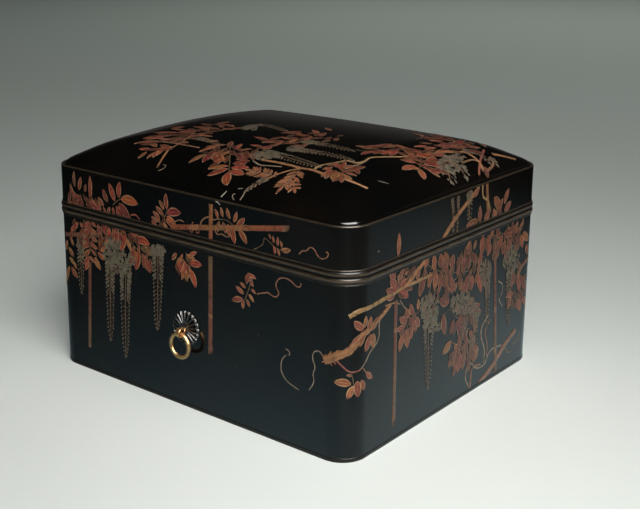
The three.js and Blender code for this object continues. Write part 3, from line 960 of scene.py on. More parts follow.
def drawStroke(pen, paint, startWidth, endWidth, points, rng, ragged=0.0, lift=0.1, layer="Stems"):
    p = strokeForm
    path = smoothPath(points, p["steps"][0 if startWidth < p["wide"] else 1])
    colour = paints[paint]
    dark, light = mixed(colour, paints["flowerDark"], 0.45), mixed(colour, paints["outline"], 0.45)
    rows = []
    for i, (u, v, du, dv) in enumerate(path):
        half = (startWidth + (endWidth - startWidth) * i / (len(path) - 1)) / 2
        half *= 1 + ragged * rng.uniform(-1, 1)
        streak = 0.3 + rng.uniform(-p["streak"], p["streak"])
        arch = min(p["arch"][0], half * p["arch"][1])
        row = []
        for a, c in ((-1, dark), (-0.62, light), (-0.3, colour), (streak, light), (0.62, colour), (1, dark)):
            row.append((*beside(u, v, du, dv, 0, half * a), lift + arch * (1 - a * a), c))
        rows.append(row)
    patch(pen, layer, rows)


poleForm = {
    "width": 0.76,  # share of the width in the lists
    "rows": 40,
    "jointRows": (-0.012, -0.004, 0, 0.004, 0.012),
    "swell": 1.12,
    "reaches": (0.002, 0.005, 0.014),  # of a joint's groove, swelling and pale rings, as shares of the length
    "wobble": 0.03,
    "wearRun": 16,  # mm
    "wear": 0.75,
    "across": (-1, -0.8, -0.45, -0.1, 0.2, 0.5, 0.8, 1),
    "lift": 0.1,
    "arch": 0.3,
    "strands": 5,
    "strandReach": (3, 8),
}


def drawPole(pen, u0, v0, u1, v1, width, joints, frayed, rng):
    p = poleForm
    length = math.hypot(u1 - u0, v1 - v0)
    du, dv = (u1 - u0) / length, (v1 - v0) / length
    width *= p["width"]
    stops = sorted({i / p["rows"] for i in range(p["rows"] + 1)} | {j + o for j in joints for o in p["jointRows"]})
    groove, swelling, rings = p["reaches"]
    edge, drift, warm = paints["poleEdge"], rng.uniform(0, 6), pen.get("warm", (1, 1, 1))
    rows = []
    for t in stops:
        near = min([abs(t - j) for j in joints], default=1)
        swell = p["swell"] if near < swelling else 1.0
        wobble = rng.uniform(-p["wobble"], p["wobble"])
        wear = 0.5 + 0.5 * math.sin(length * t / p["wearRun"] + drift)
        face = mixed(paints["poleFace"], paints["poleWorn"], p["wear"] * wear * wear)
        face = (*(c * w for c, w in zip(face, warm)), face[3])
        row = []
        for a in p["across"]:
            colour = edge if abs(a) > 0.9 else face
            if near < groove:
                colour = mixed(face, edge, 0.7)
            elif near < rings:
                colour = mixed(face, paints["outline"], 0.3)
            u, v = beside(u0, v0, du, dv, length * t, width / 2 * a * (swell + wobble))
            row.append((u, v, p["lift"] + p["arch"] * swell * (1 - a * a), colour))
        rows.append(row)
    patch(pen, "Stems", rows)
    if frayed:
        for k in range(p["strands"]):
            u, v = beside(u1, v1, du, dv, -1.5, (k - 2) / 2.4 * width / 2)
            reach = rng.uniform(*p["strandReach"])
            drawStroke(pen, "trunk", width / 4.5, 0.3, [(u, v), (u + du * reach, v + dv * reach)], rng)


petalForm = {
    "lift": (0.2, 0.02, 8),  # mm, and a number of small steps
    "rows": ((0, 0.15), (0.2, 0.5), (0.45, 0.88), (0.72, 1), (0.9, 0.7), (1, 0.15)),  # way along, width
    "across": (-1, -0.62, 0.62, 1),
    "arch": 0.25,
    "mauve": (0, 0.8),
    "gold": (0.6, 1.3),
    "light": (0.9, 1.2),
    "dark": 0.55,
}


def drawPetal(pen, u, v, du, dv, length, width, inner, outer, rng):
    # A drop, round at its far end, with a pale edge round a darker middle
    p, (lift, step, levels) = petalForm, petalForm["lift"]
    base = lift + step * rng.randrange(levels)
    rows = []
    for t, share in p["rows"]:
        row = []
        for a in p["across"]:
            colour = mixed(inner, outer, 0.35 + 0.65 * t if abs(a) == 1 or t > 0.8 else t * 0.8)
            place = beside(u, v, du, dv, length * t, width / 2 * share * a)
            row.append((*place, base + p["arch"] * share * (1 - a * a), colour))
        rows.append(row)
    patch(pen, "Flowers", rows)


def petalColours(tone, rng):
    # Of a petal's darker middle and of its pale edge
    p = petalForm
    pale = mixed(paints["flowerPale"], paints["flowerMauve"], rng.uniform(*p["mauve"]))
    outer = mixed(pale, paints["flowerGold"], min(1, tone * rng.uniform(*p["gold"])))
    return mixed(outer, paints["flowerDark"], p["dark"]), tuple(c * rng.uniform(*p["light"]) for c in outer)


racemeForm = {  # mm, degrees and shares
    "step": 3.3,
    "stem": (1.5, 0.7),
    "stemLift": 0.08,
    "closing": (0.85, 3.4),  # where the end begins to close, and how fast
    "fullUntil": 0.45,
    "lean": (26, 40),
    "fullLean": 8,
    "length": (2.5, 1.8),  # at the thin end, and what is added where it is full
    "lengthVary": (0.9, 1.1),
    "lengthMost": (1.8, 1.15),
    "width": (0.56, 0.2),
    "secondLayer": (1.9, 1.6),  # inwards, and along the stem
    "drift": 0.3,
    "stalk": 0.45,
    "stalkBack": 0.8,
    "warmer": 0.4,
    "lastPetal": (3.0, 1.5),
}


def drawRaceme(pen, startWidth, endWidth, tone, points, rng):
    # Pairs of drops that hang down and out from a thin stem, fuller towards the top
    p = racemeForm
    path, (closing, fast) = smoothPath(points, p["step"]), p["closing"]
    drawStroke(pen, "flowerStem", *p["stem"], points, rng, layer="Flowers", lift=p["stemLift"])
    for i, (u, v, du, dv) in enumerate(path):
        t = i / (len(path) - 1)
        half = (startWidth + (endWidth - startWidth) * t) / 2 * (1 if t < closing else 1 - (t - closing) * fast)
        full = max(0, 1 - t / p["fullUntil"])
        for side in (-1, 1):
            for layer in range(2 if full > 0.2 else 1):
                lean = math.radians(rng.uniform(*p["lean"]) + p["fullLean"] * full) * side
                long = (p["length"][0] + p["length"][1] * full) * rng.uniform(*p["lengthVary"])
                long = min(long, max(p["lengthMost"][0], half * p["lengthMost"][1]))
                wide = long * (p["width"][0] + p["width"][1] * full)
                out = max(0.3, half - abs(math.sin(lean)) * long - p["secondLayer"][0] * layer) * side
                drift = rng.uniform(-p["drift"], p["drift"]) + p["secondLayer"][1] * layer
                colours = petalColours(tone + p["warmer"] * t * (1 if tone > 0.05 else 0.2), rng)
                pu, pv = beside(u, v, du, dv, drift, out)
                if not full:
                    stalk = [(u - du * p["stalkBack"], v - dv * p["stalkBack"]), (pu, pv)]
                    drawStroke(pen, "flowerDark", p["stalk"], p["stalk"], stalk, rng, layer="Flowers")
                drawPetal(pen, pu, pv, *rotated(du, dv, lean), long, wide, *colours, rng)
    drawPetal(pen, *path[-1], *p["lastPetal"], *petalColours(tone, rng), rng)


headForm = {
    "petalArea": 5.5,  # mm2
    "tries": 900,
    "apart": 1.9,
    "down": (-150, -30),  # degrees
    "length": (3.2, 4.4),
    "width": (2.8, 3.8),
    "hang": 1.4,
}


def drawHead(pen, u, v, au, av, bu, bv, tone, rng):
    # A cloud of round petals that overlap downwards
    form, area = headForm, abs(au * bv - av * bu) * math.pi
    spots, tries = [], 0
    while len(spots) < area / form["petalArea"] and tries < form["tries"]:
        tries += 1
        r, t = math.sqrt(rng.random()), rng.uniform(0, 2 * math.pi)
        p = (u + r * (au * math.cos(t) + bu * math.sin(t)), v + r * (av * math.cos(t) + bv * math.sin(t)))
        if all(math.hypot(p[0] - q[0], p[1] - q[1]) > form["apart"] for q in spots):
            spots.append(p)
    for pu, pv in sorted(spots, key=lambda q: q[1]):
        turn = math.radians(rng.uniform(*form["down"]))
        colours = petalColours(tone + rng.uniform(0, 0.2), rng)
        size = rng.uniform(*form["length"]), rng.uniform(*form["width"])
        drawPetal(pen, pu, pv + form["hang"], math.cos(turn), math.sin(turn), *size, *colours, rng)


sprayForm = {"step": 1.5, "stem": (0.8, 0.5), "lean": 52, "size": (0.75, 0.4)}  # mm, degrees, shares of the length


def drawSpray(pen, pairs, leafLength, leafWidth, tone, points, rng):
    # Pairs of leaves along a thin stem, with one more at its end
    p = sprayForm
    path = smoothPath(points, p["step"])
    drawStroke(pen, "vine", *p["stem"], points, rng)
    for i in range(pairs):
        u, v, du, dv = path[min(len(path) - 1, round((i + 0.6) / pairs * (len(path) - 1)))]
        size = leafLength * (p["size"][0] + p["size"][1] * math.sin(math.pi * (i + 1) / (pairs + 1)))
        for lean in (-p["lean"], p["lean"]):
            bu, bv = rotated(du, dv, math.radians(lean))
            drawLeaf(pen, u, v, u + bu * size, v + bv * size, leafWidth, tone + rng.uniform(-0.1, 0.1), rng)
    u, v, du, dv = path[-1]
    drawLeaf(pen, u, v, u + du * leafLength, v + dv * leafLength, leafWidth, tone, rng)


lidLeaves = [  # from u, v to u, v at the tip, width, tone
    (-121.2, 151.3, -121.5, 164.1, 3.2, 0.05), (-116.5, 149.6, -113.4, 160.6, 4, 0.1),
    (-109.4, 149.2, -107.7, 155.8, 3.4, 0.2), (-103.6, 146.9, -102.6, 163.1, 4, 0.06),
    (-124.3, 141.8, -127.1, 153.5, 3.4, 0.08), (-119.4, 142.6, -125.1, 148.2, 4.6, 0.06),
    (-112.3, 139.8, -121.6, 145.5, 5, 0.07), (-111.3, 136.7, -120.7, 140.8, 5, 0.08),
    (-103.7, 144.5, -100.9, 152.2, 4.4, 0.14), (-96.9, 140, -104.9, 145.1, 5.6, 0.07),
    (-93.6, 136.6, -103.8, 142.8, 6, 0.08), (-91.3, 137, -96.6, 145.7, 5, 0.1),
    (-87.5, 141.6, -94.1, 147.7, 4.4, 0.12), (-101.8, 137.6, -108.8, 139.6, 4, 0.08),
    (-126, 135, -130.5, 140.7, 4.4, 0.1), (-117.4, 136.5, -124.5, 138.5, 4, 0.06),
    (-85.5, 136.4, -88.7, 140.6, 4, 0.12), (-82.7, 145.7, -87.9, 155.1, 4.2, 0.16),
    (-74.6, 147.8, -80.7, 161, 5, 0.2), (-69.9, 151, -68.2, 163.8, 4.8, 0.4),
    (-67.7, 150.6, -48.9, 149.9, 6.6, 0.62), (-70.1, 147, -58.3, 137.3, 6, 0.1),
    (-73.7, 144.1, -65, 136.1, 4.8, 0.16), (-77.1, 142.7, -76.4, 134.9, 4.4, 0.2),
    (-80.6, 142.1, -84.4, 135.8, 4, 0.12), (-72.6, 142.7, -71.8, 136.5, 4, 0.1),
    (-17.9, 151.5, -18.6, 163.4, 4.2, 0.32), (-21.1, 150.2, -26.1, 156.9, 4.2, 0.45),
    (-22.3, 146.1, -29.5, 151.7, 4.5, 0.2), (-25.6, 142.5, -32.9, 147.3, 4.5, 0.15),
    (-27.8, 139.8, -34.1, 143.3, 4, 0.12), (-29, 136.5, -35.3, 139.2, 3.6, 0.15),
    (-18, 148.4, -3.5, 151, 6.2, 0.12), (-18.1, 146.1, -8.9, 141.8, 4.5, 0.6),
    (-19.3, 143.7, -11.1, 138.3, 4.4, 0.5), (-22.5, 140.8, -17.4, 137.1, 4.2, 0.5),
    (-24.7, 138.8, -22.7, 134.6, 3.4, 0.3), (33.2, 153.9, 30.4, 160, 3.8, 0.2), (38, 155.5, 36.2, 162.4, 4, 0.5),
    (44.7, 155.3, 41.9, 162.7, 4.6, 0.3), (48.4, 153.8, 51.3, 161.5, 4.5, 0.55), (51.2, 151.4, 58.7, 158.5, 5, 0.4),
    (54.9, 150, 63.3, 153, 4.6, 0.25), (34.1, 151.2, 33.1, 145.1, 3.2, 0.25), (38, 151.9, 40.7, 143.7, 3.8, 0.3),
    (42.7, 151.3, 44.5, 142.2, 4, 0.55), (47.4, 149.3, 49.2, 138, 4.6, 0.3), (53.1, 148.9, 60.4, 140.2, 4.8, 0.6),
    (82.3, 148.1, 80.5, 151.3, 3, 0.3), (85, 145.8, 84.1, 150.5, 3.4, 0.2), (88.5, 144.4, 88.5, 150.7, 3.4, 0.2),
    (85, 143.7, 85.9, 138.2, 3, 0.35), (87.6, 142.8, 90.3, 137.7, 3, 0.3), (92, 143.7, 91.1, 148.4, 3.2, 0.35),
    (91.2, 142.1, 99.9, 143.8, 4.2, 0.5), (194.8, 137, 195.2, 153.2, 3.8, 0.42),
    (304.1, 137.4, 302.9, 150.2, 4.2, 0.16), (332.6, 141.8, 323.7, 153.1, 6, 0.4),
    (328.4, 137, 323.1, 143.7, 5.4, 0.35), (340.2, 144.2, 346.9, 155.8, 4.2, 0.18),
    (340.8, 138.5, 351.3, 144.4, 5.4, 0.25), (283.6, 138.8, 300.9, 139.7, 5.4, 0.42),
    (291.9, 159.3, 300.1, 165.4, 4.2, 0.14), (313.3, 135.5, 317.2, 141.8, 4, 0.3),
    (333.9, 143.9, 338.1, 149.5, 3.6, 0.3),
]
lidStrokes = [  # paint, width at both ends, points
    ("stem", 0.9, 0.7, [(-77.1, 144.3), (-72.3, 148.2), (-67.7, 150.6)]),
    ("crimson", 1.6, 0.8, [(-57.1, 139.9), (-51.5, 140.9), (-47.3, 137.8)]),
    ("stem", 0.9, 0.7, [(-29.1, 135), (-20.3, 145), (-17.9, 151.5)]),
    ("stem", 0.9, 0.7, [(31.3, 152.8), (40.9, 153.9), (48.4, 150.9), (54, 148.4)]),
    ("stem", 0.8, 0.6, [(63.2, 135.7), (74.2, 142.2), (76.9, 147.7), (85.8, 143.1), (95.6, 141.6)]),
    ("vine", 1.2, 0.8, [(-9, 138.7), (-9.9, 143.1), (-4.7, 145.5), (-0.7, 144.8)]),
    ("crimson", 1, 0.8, [(5.3, 139.1), (8.3, 139), (7.4, 144.8), (9.5, 146.7)]),
    ("crimson", 1, 0.8, [(11.3, 139.5), (14.3, 139.4), (13.5, 145.9)]),
    ("vine", 1.2, 0.8, [(16.4, 143.5), (16.5, 147.9), (20.5, 151.6), (25.4, 153.2), (29.3, 151.8), (34.2, 154.1)]),
    ("vine", 1.2, 0.8, [(29.2, 147.3), (32, 142), (36.9, 142.9), (41.6, 141.6), (46.4, 144)]),
    ("vine", 1, 0.8, [(34.1, 151.9), (35, 147), (32.1, 143.5)]),
    ("tendril", 0.9, 0.7, [(106.8, 142.4), (110.2, 145.6), (112.8, 145.7), (116.1, 148.8), (119.5, 148.5),
        (122.9, 144.3), (126.3, 143), (130.4, 144.9), (131.5, 147.5), (129.9, 148.8), (129.5, 147.7)]),
    ("branch", 4.2, 3.6, [(252, 136), (267.5, 147.6), (287.7, 158.6), (300.1, 165.4)]),
    ("gold", 2.2, 1.8, [(305.7, 168.2), (306.7, 157.2), (314.7, 151.7), (318.6, 143.1)]),
    ("crimson", 1.6, 1.2, [(297.8, 174.3), (300.1, 165.4)]),
]
lidPoles = [  # from u, v to u, v, width, places of the joints, frayed end
    (-14.2, 138.5, 92.9, 157.4, 5.4, (0.2, 0.24, 0.62), True), (26.6, 162.9, 25.6, 134.1, 5.2, (0.55,), False),
    (311.7, 167.9, 316.3, 134.8, 4.8, (0.4,), False),
]
lidRacemes = [  # width at both ends, tone, points
    (3.6, 3, 0.5, [(262.1, 164.4), (264.3, 153.5), (265.5, 136.7)]),
    (3.4, 2.6, 0.4, [(270.3, 164.3), (271.3, 152.1), (270.9, 138.5)]),
    (8, 5, 0.35, [(285.7, 165.1), (287.4, 153.3), (287.7, 141.8)]),
]
lidChips = [  # from u, v to u, v, width
    (31.5, 166, 35.3, 163.7, 3.6), (171, 146.2, 172.2, 145.2, 1),
]
bodyLeaves = [  # from u, v to u, v at the tip, width, tone
    (-104.9, 125.7, -112.4, 120.2, 4.6, 0.3), (-103.7, 125.9, -96.8, 123.1, 4.6, 0.3),
    (-105.2, 119.9, -114, 113.3, 5, 0.4), (-104, 120.1, -95.9, 116.7, 5, 0.42),
    (-105.6, 114.1, -114.4, 108.3, 5, 0.45), (-104.4, 114.3, -96.3, 111, 5, 0.35),
    (-105.9, 108.3, -114.7, 102.4, 5, 0.5), (-104.7, 108.5, -96.6, 105.2, 5, 0.42),
    (-106.3, 102.4, -113.9, 95.9, 5, 0.5), (-105, 103.5, -99.4, 98.9, 5, 0.3),
    (-106.7, 96.6, -114.4, 89.1, 4.6, 0.25), (-106.6, 97.4, -100.9, 92.8, 4.6, 0.4),
    (-108.1, 92.1, -113.5, 84.3, 4, 0.3), (-129.1, 107.9, -125.8, 101.9, 4, 0.72),
    (-132.3, 99.7, -126.4, 92.5, 4.8, 0.5), (-131.5, 91.5, -125.6, 85.9, 4.4, 0.75),
    (-127.9, 88.8, -123.3, 83.1, 4.4, 0.7), (-132.1, 83.7, -142.2, 65.4, 4.4, 0.8),
    (-129.5, 83.4, -122.6, 75.6, 4.6, 0.42), (-133.3, 105.3, -138.7, 95.5, 3.6, 0.5),
    (-119.5, 123, -123.6, 115.6, 3.6, 0.3), (-117, 123.4, -112.5, 118.5, 3.6, 0.28),
    (-122.2, 119.2, -128.6, 113.8, 3.4, 0.3), (-89.4, 128.5, -86.5, 117.7, 5, 0.14),
    (-95.4, 125.8, -92.4, 116.6, 4.6, 0.18), (-81.5, 125.1, -85.5, 114.7, 4, 0.2),
    (-89, 115.7, -95.3, 107.9, 4.6, 0.55), (-87, 109.6, -93.2, 103.4, 4.4, 0.5),
    (-96.8, 102.7, -88.8, 97.8, 4.6, 0.25), (-100.6, 97.8, -94, 88.5, 4.6, 0.62),
    (-76.9, 125.2, -77.4, 115.5, 4.2, 0.3), (-72.4, 124.5, -75.2, 114.3, 4, 0.35),
    (-70.1, 124.1, -69.5, 114.6, 4, 0.25), (-84.2, 118.2, -88.2, 109.3, 4.2, 0.6),
    (-63.4, 123, -69.8, 109, 5.4, 0.42), (-62.5, 120, -58.4, 111.3, 4.6, 0.7),
    (-58.8, 126.2, -48.9, 124.2, 4.6, 0.32), (-52.4, 122, -37.1, 121, 6.2, 0.42),
    (-47.1, 116.7, -35.3, 112, 6.2, 0.82), (-54.8, 115.9, -60, 101.3, 5, 0.45),
    (-49.4, 113.1, -53.5, 97.1, 6.4, 0.3), (-46.2, 112.1, -36.9, 98.3, 5.6, 0.5),
    (-67.6, 129.3, -74.6, 125.6, 3.6, 0.3), (-63.1, 129.4, -55.4, 128.5, 3.8, 0.3),
    (-78.9, 130.4, -83.8, 125.5, 3.6, 0.2), (-8.6, 119.8, -14, 113.3, 3.6, 0.25),
    (-4.5, 117.5, -9.9, 108.7, 4.6, 0.55), (-1.4, 116.6, -7, 103.9, 4.6, 0.3),
    (-0.4, 115.3, -0.7, 106.8, 3.8, 0.35), (2.6, 113.6, -4, 100, 4, 0.42), (3.6, 112.3, 0.2, 100.1, 4, 0.5),
    (3.6, 114.6, 16.8, 115.9, 5.8, 0.36), (1.7, 120.3, 9.8, 118.9, 4, 0.6), (4.8, 121.7, 12, 124.7, 3.6, 0.3),
    (4.5, 110.2, 10.3, 97, 5.2, 0.36), (-2.4, 120.3, -4.5, 116, 3.4, 0.4), (60.2, 111.1, 59.3, 116.8, 3.2, 0.2),
    (59.2, 107.9, 53.6, 111.1, 3.6, 0.3), (57.3, 103.1, 49.8, 107.3, 3.8, 0.42), (56.3, 99.2, 45.8, 96, 4.2, 0.38),
    (57.3, 98.6, 56.3, 91.7, 3.8, 0.5), (60.1, 100, 62.9, 94.8, 3.2, 0.3), (62, 104.2, 66.7, 99.3, 3.5, 0.6),
    (63.9, 108.3, 68.5, 105.6, 3.5, 0.35), (63, 112.5, 66.7, 110.4, 3.2, 0.3), (62.1, 115.2, 65.8, 115.3, 3, 0.3),
    (156.7, 94.8, 149.6, 102.3, 5, 0.36), (157.5, 96, 159.2, 104, 4.2, 0.55),
    (161.7, 92.7, 164.7, 102.4, 4.2, 0.35), (166.3, 92, 172.9, 99.4, 4.6, 0.4), (148.5, 87, 159.6, 91.2, 5.2, 0.34),
    (157.7, 91, 153.7, 83.4, 4.2, 0.4), (165.2, 89.5, 159, 78.6, 5.2, 0.32), (167.5, 89.5, 167.9, 77.9, 4.2, 0.78),
    (148.4, 57.7, 136.9, 58.9, 6, 0.55), (149.8, 56.1, 145.8, 47.1, 5.4, 0.6), (152.7, 59.3, 153.7, 47.5, 5, 0.24),
    (155.9, 59.3, 158.8, 51.2, 4.2, 0.4), (160.5, 63.7, 167.6, 57, 3.4, 0.4), (149, 63.4, 144.9, 64.4, 3.4, 0.4),
    (191.9, 121.3, 185.5, 131.5, 6, 0.14), (195.6, 119.6, 202.6, 125.8, 6, 0.2),
    (199.5, 115, 195.4, 123.3, 4.8, 0.25), (198.3, 113.9, 209.2, 117.5, 5.8, 0.28),
    (193.5, 113, 185.9, 122.9, 5.4, 0.2), (194.8, 111.2, 181.5, 116.2, 5, 0.2),
    (197.3, 110.5, 208.7, 103.8, 6.2, 0.24), (191.4, 108.5, 181.8, 109.7, 4, 0.3),
    (202.8, 121.4, 208.8, 124.2, 4.2, 0.3), (232.7, 128.6, 228.1, 119.3, 5.2, 0.35),
    (240.6, 126.7, 241.4, 114.5, 5.8, 0.4), (248.7, 125.5, 253.6, 113.7, 4.6, 0.3),
    (259.7, 122.8, 256.4, 111.4, 4.6, 0.5), (266.7, 121.1, 266.3, 108.2, 5.2, 0.3),
    (275.9, 111.2, 273.8, 102.4, 6.6, 0.12), (282.7, 115.8, 282.1, 104.9, 5.2, 0.3),
    (291.5, 113.6, 289.5, 103.1, 4.8, 0.35), (298.8, 113.4, 298.4, 101.6, 5.2, 0.3),
    (307.8, 112.9, 304.3, 101.7, 4.6, 0.4), (228.3, 116.3, 222.8, 99.9, 5.8, 0.24),
    (236.1, 115.1, 234.3, 103.5, 5.2, 0.4), (244.2, 113, 242.4, 99.8, 5.2, 0.45),
    (252.5, 109.4, 247.9, 97.6, 5.4, 0.18), (258.2, 106.4, 260.4, 94.2, 4.4, 0.5),
    (263.7, 105.7, 267.6, 90.7, 5.4, 0.2), (274.2, 97.6, 270.4, 91.6, 4.4, 0.3),
    (281.2, 98.9, 277.6, 89.6, 4.8, 0.4), (288.3, 99.4, 288.1, 85.2, 5.8, 0.2),
    (295.8, 97.5, 295.4, 85.6, 4.6, 0.35), (303.4, 95.6, 310.8, 79.8, 5.2, 0.3),
    (312.4, 96.5, 316.8, 81.5, 4.6, 0.42), (216.5, 121.5, 211.9, 113.9, 4.6, 0.5),
    (221.5, 121.7, 218.2, 113, 4.4, 0.4), (222.1, 90.4, 221.6, 98.7, 4.6, 0.42),
    (215.8, 88.4, 211.5, 97.8, 4.6, 0.3), (210.8, 87.6, 205.4, 95.8, 4.8, 0.5), (207.2, 85.7, 198.3, 91.3, 6, 0.2),
    (204.9, 81.9, 195, 83.4, 5, 0.25), (203.8, 78.5, 199.5, 65.7, 4.8, 0.62), (207.5, 78.9, 209.5, 65.5, 5.4, 0.5),
    (212.4, 81.9, 214.3, 70.8, 4.8, 0.26), (216.1, 84.6, 220.4, 75, 4.8, 0.2), (219.8, 85.8, 224.2, 76.9, 4.6, 0.3),
    (211.3, 80, 205.4, 72.8, 4.2, 0.45), (263.9, 84.7, 249.8, 90.2, 7.2, 0.36),
    (256.1, 77.6, 260.2, 59.9, 5.4, 0.18), (278, 66.5, 283.8, 47.8, 6.4, 0.2),
    (285.6, 62.6, 289.5, 50.1, 4.4, 0.25), (293.6, 71.6, 310.2, 70.2, 4.6, 0.35),
    (295.3, 68.7, 312.3, 63.9, 4.2, 0.3), (290.3, 75.8, 300.5, 77.8, 4, 0.35), (269.1, 52.3, 257, 45.8, 6.4, 0.6),
    (277, 43.5, 266.4, 31.5, 5.8, 0.2), (281.5, 40.4, 273.9, 26.6, 5.2, 0.3), (283.1, 39.1, 280, 22.9, 5.2, 0.22),
    (289.1, 37.1, 287.3, 22.9, 4.8, 0.3), (273.7, 48.5, 283.1, 39.1, 4.2, 0.5),
    (300.9, 38.4, 305.2, 23.7, 5.2, 0.5), (308.8, 35.1, 306.6, 24.9, 4.2, 0.6),
    (274.1, 80.3, 277.6, 71.4, 4.4, 0.5), (299.4, 124.4, 295.6, 117.4, 4.6, 0.4),
    (309.6, 126, 306.2, 114.1, 5, 0.35), (317.4, 124.2, 318.6, 111.1, 5, 0.3),
    (326.4, 126.2, 319.3, 119.8, 5.4, 0.12), (336.6, 117.5, 331.7, 103.9, 5, 0.3),
    (345, 113.9, 341.4, 102.4, 4.8, 0.4), (354.7, 113.3, 351.1, 101.7, 5.2, 0.28),
    (363, 113.1, 367.7, 100.3, 5, 0.4), (371.3, 112.9, 374.5, 100.4, 4.6, 0.45),
    (341.2, 119.7, 367.3, 118.8, 6.2, 0.3), (374.6, 113.9, 384.7, 104.8, 5, 0.62),
    (370.7, 118.1, 373.2, 125.9, 4.8, 0.34), (360.8, 117.8, 364.9, 125.2, 4.4, 0.3),
    (347.5, 119.9, 350.2, 125.1, 4.2, 0.3), (290.5, 125.6, 285.2, 119.8, 4.2, 0.3),
    (329.8, 123.1, 335.6, 127.4, 4.4, 0.25), (381, 102.2, 384.3, 92.9, 4, 0.5),
    (322.8, 115.8, 317.4, 107.4, 4.4, 0.35), (335.7, 111.1, 329, 99.7, 4.4, 0.3), (361.1, 85, 359.5, 69.3, 5, 0.3),
    (371.9, 78.9, 371.8, 64.2, 5.2, 0.24), (379.3, 73.5, 384.8, 60.7, 4.4, 0.3),
    (360.2, 63.1, 354.6, 53.5, 4.4, 0.5), (368.7, 61.6, 377.4, 45.3, 5.4, 0.46), (363.3, 64.8, 350.1, 65, 4.4, 0.4),
    (379.4, 57.9, 388.1, 46.4, 4, 0.35),
]
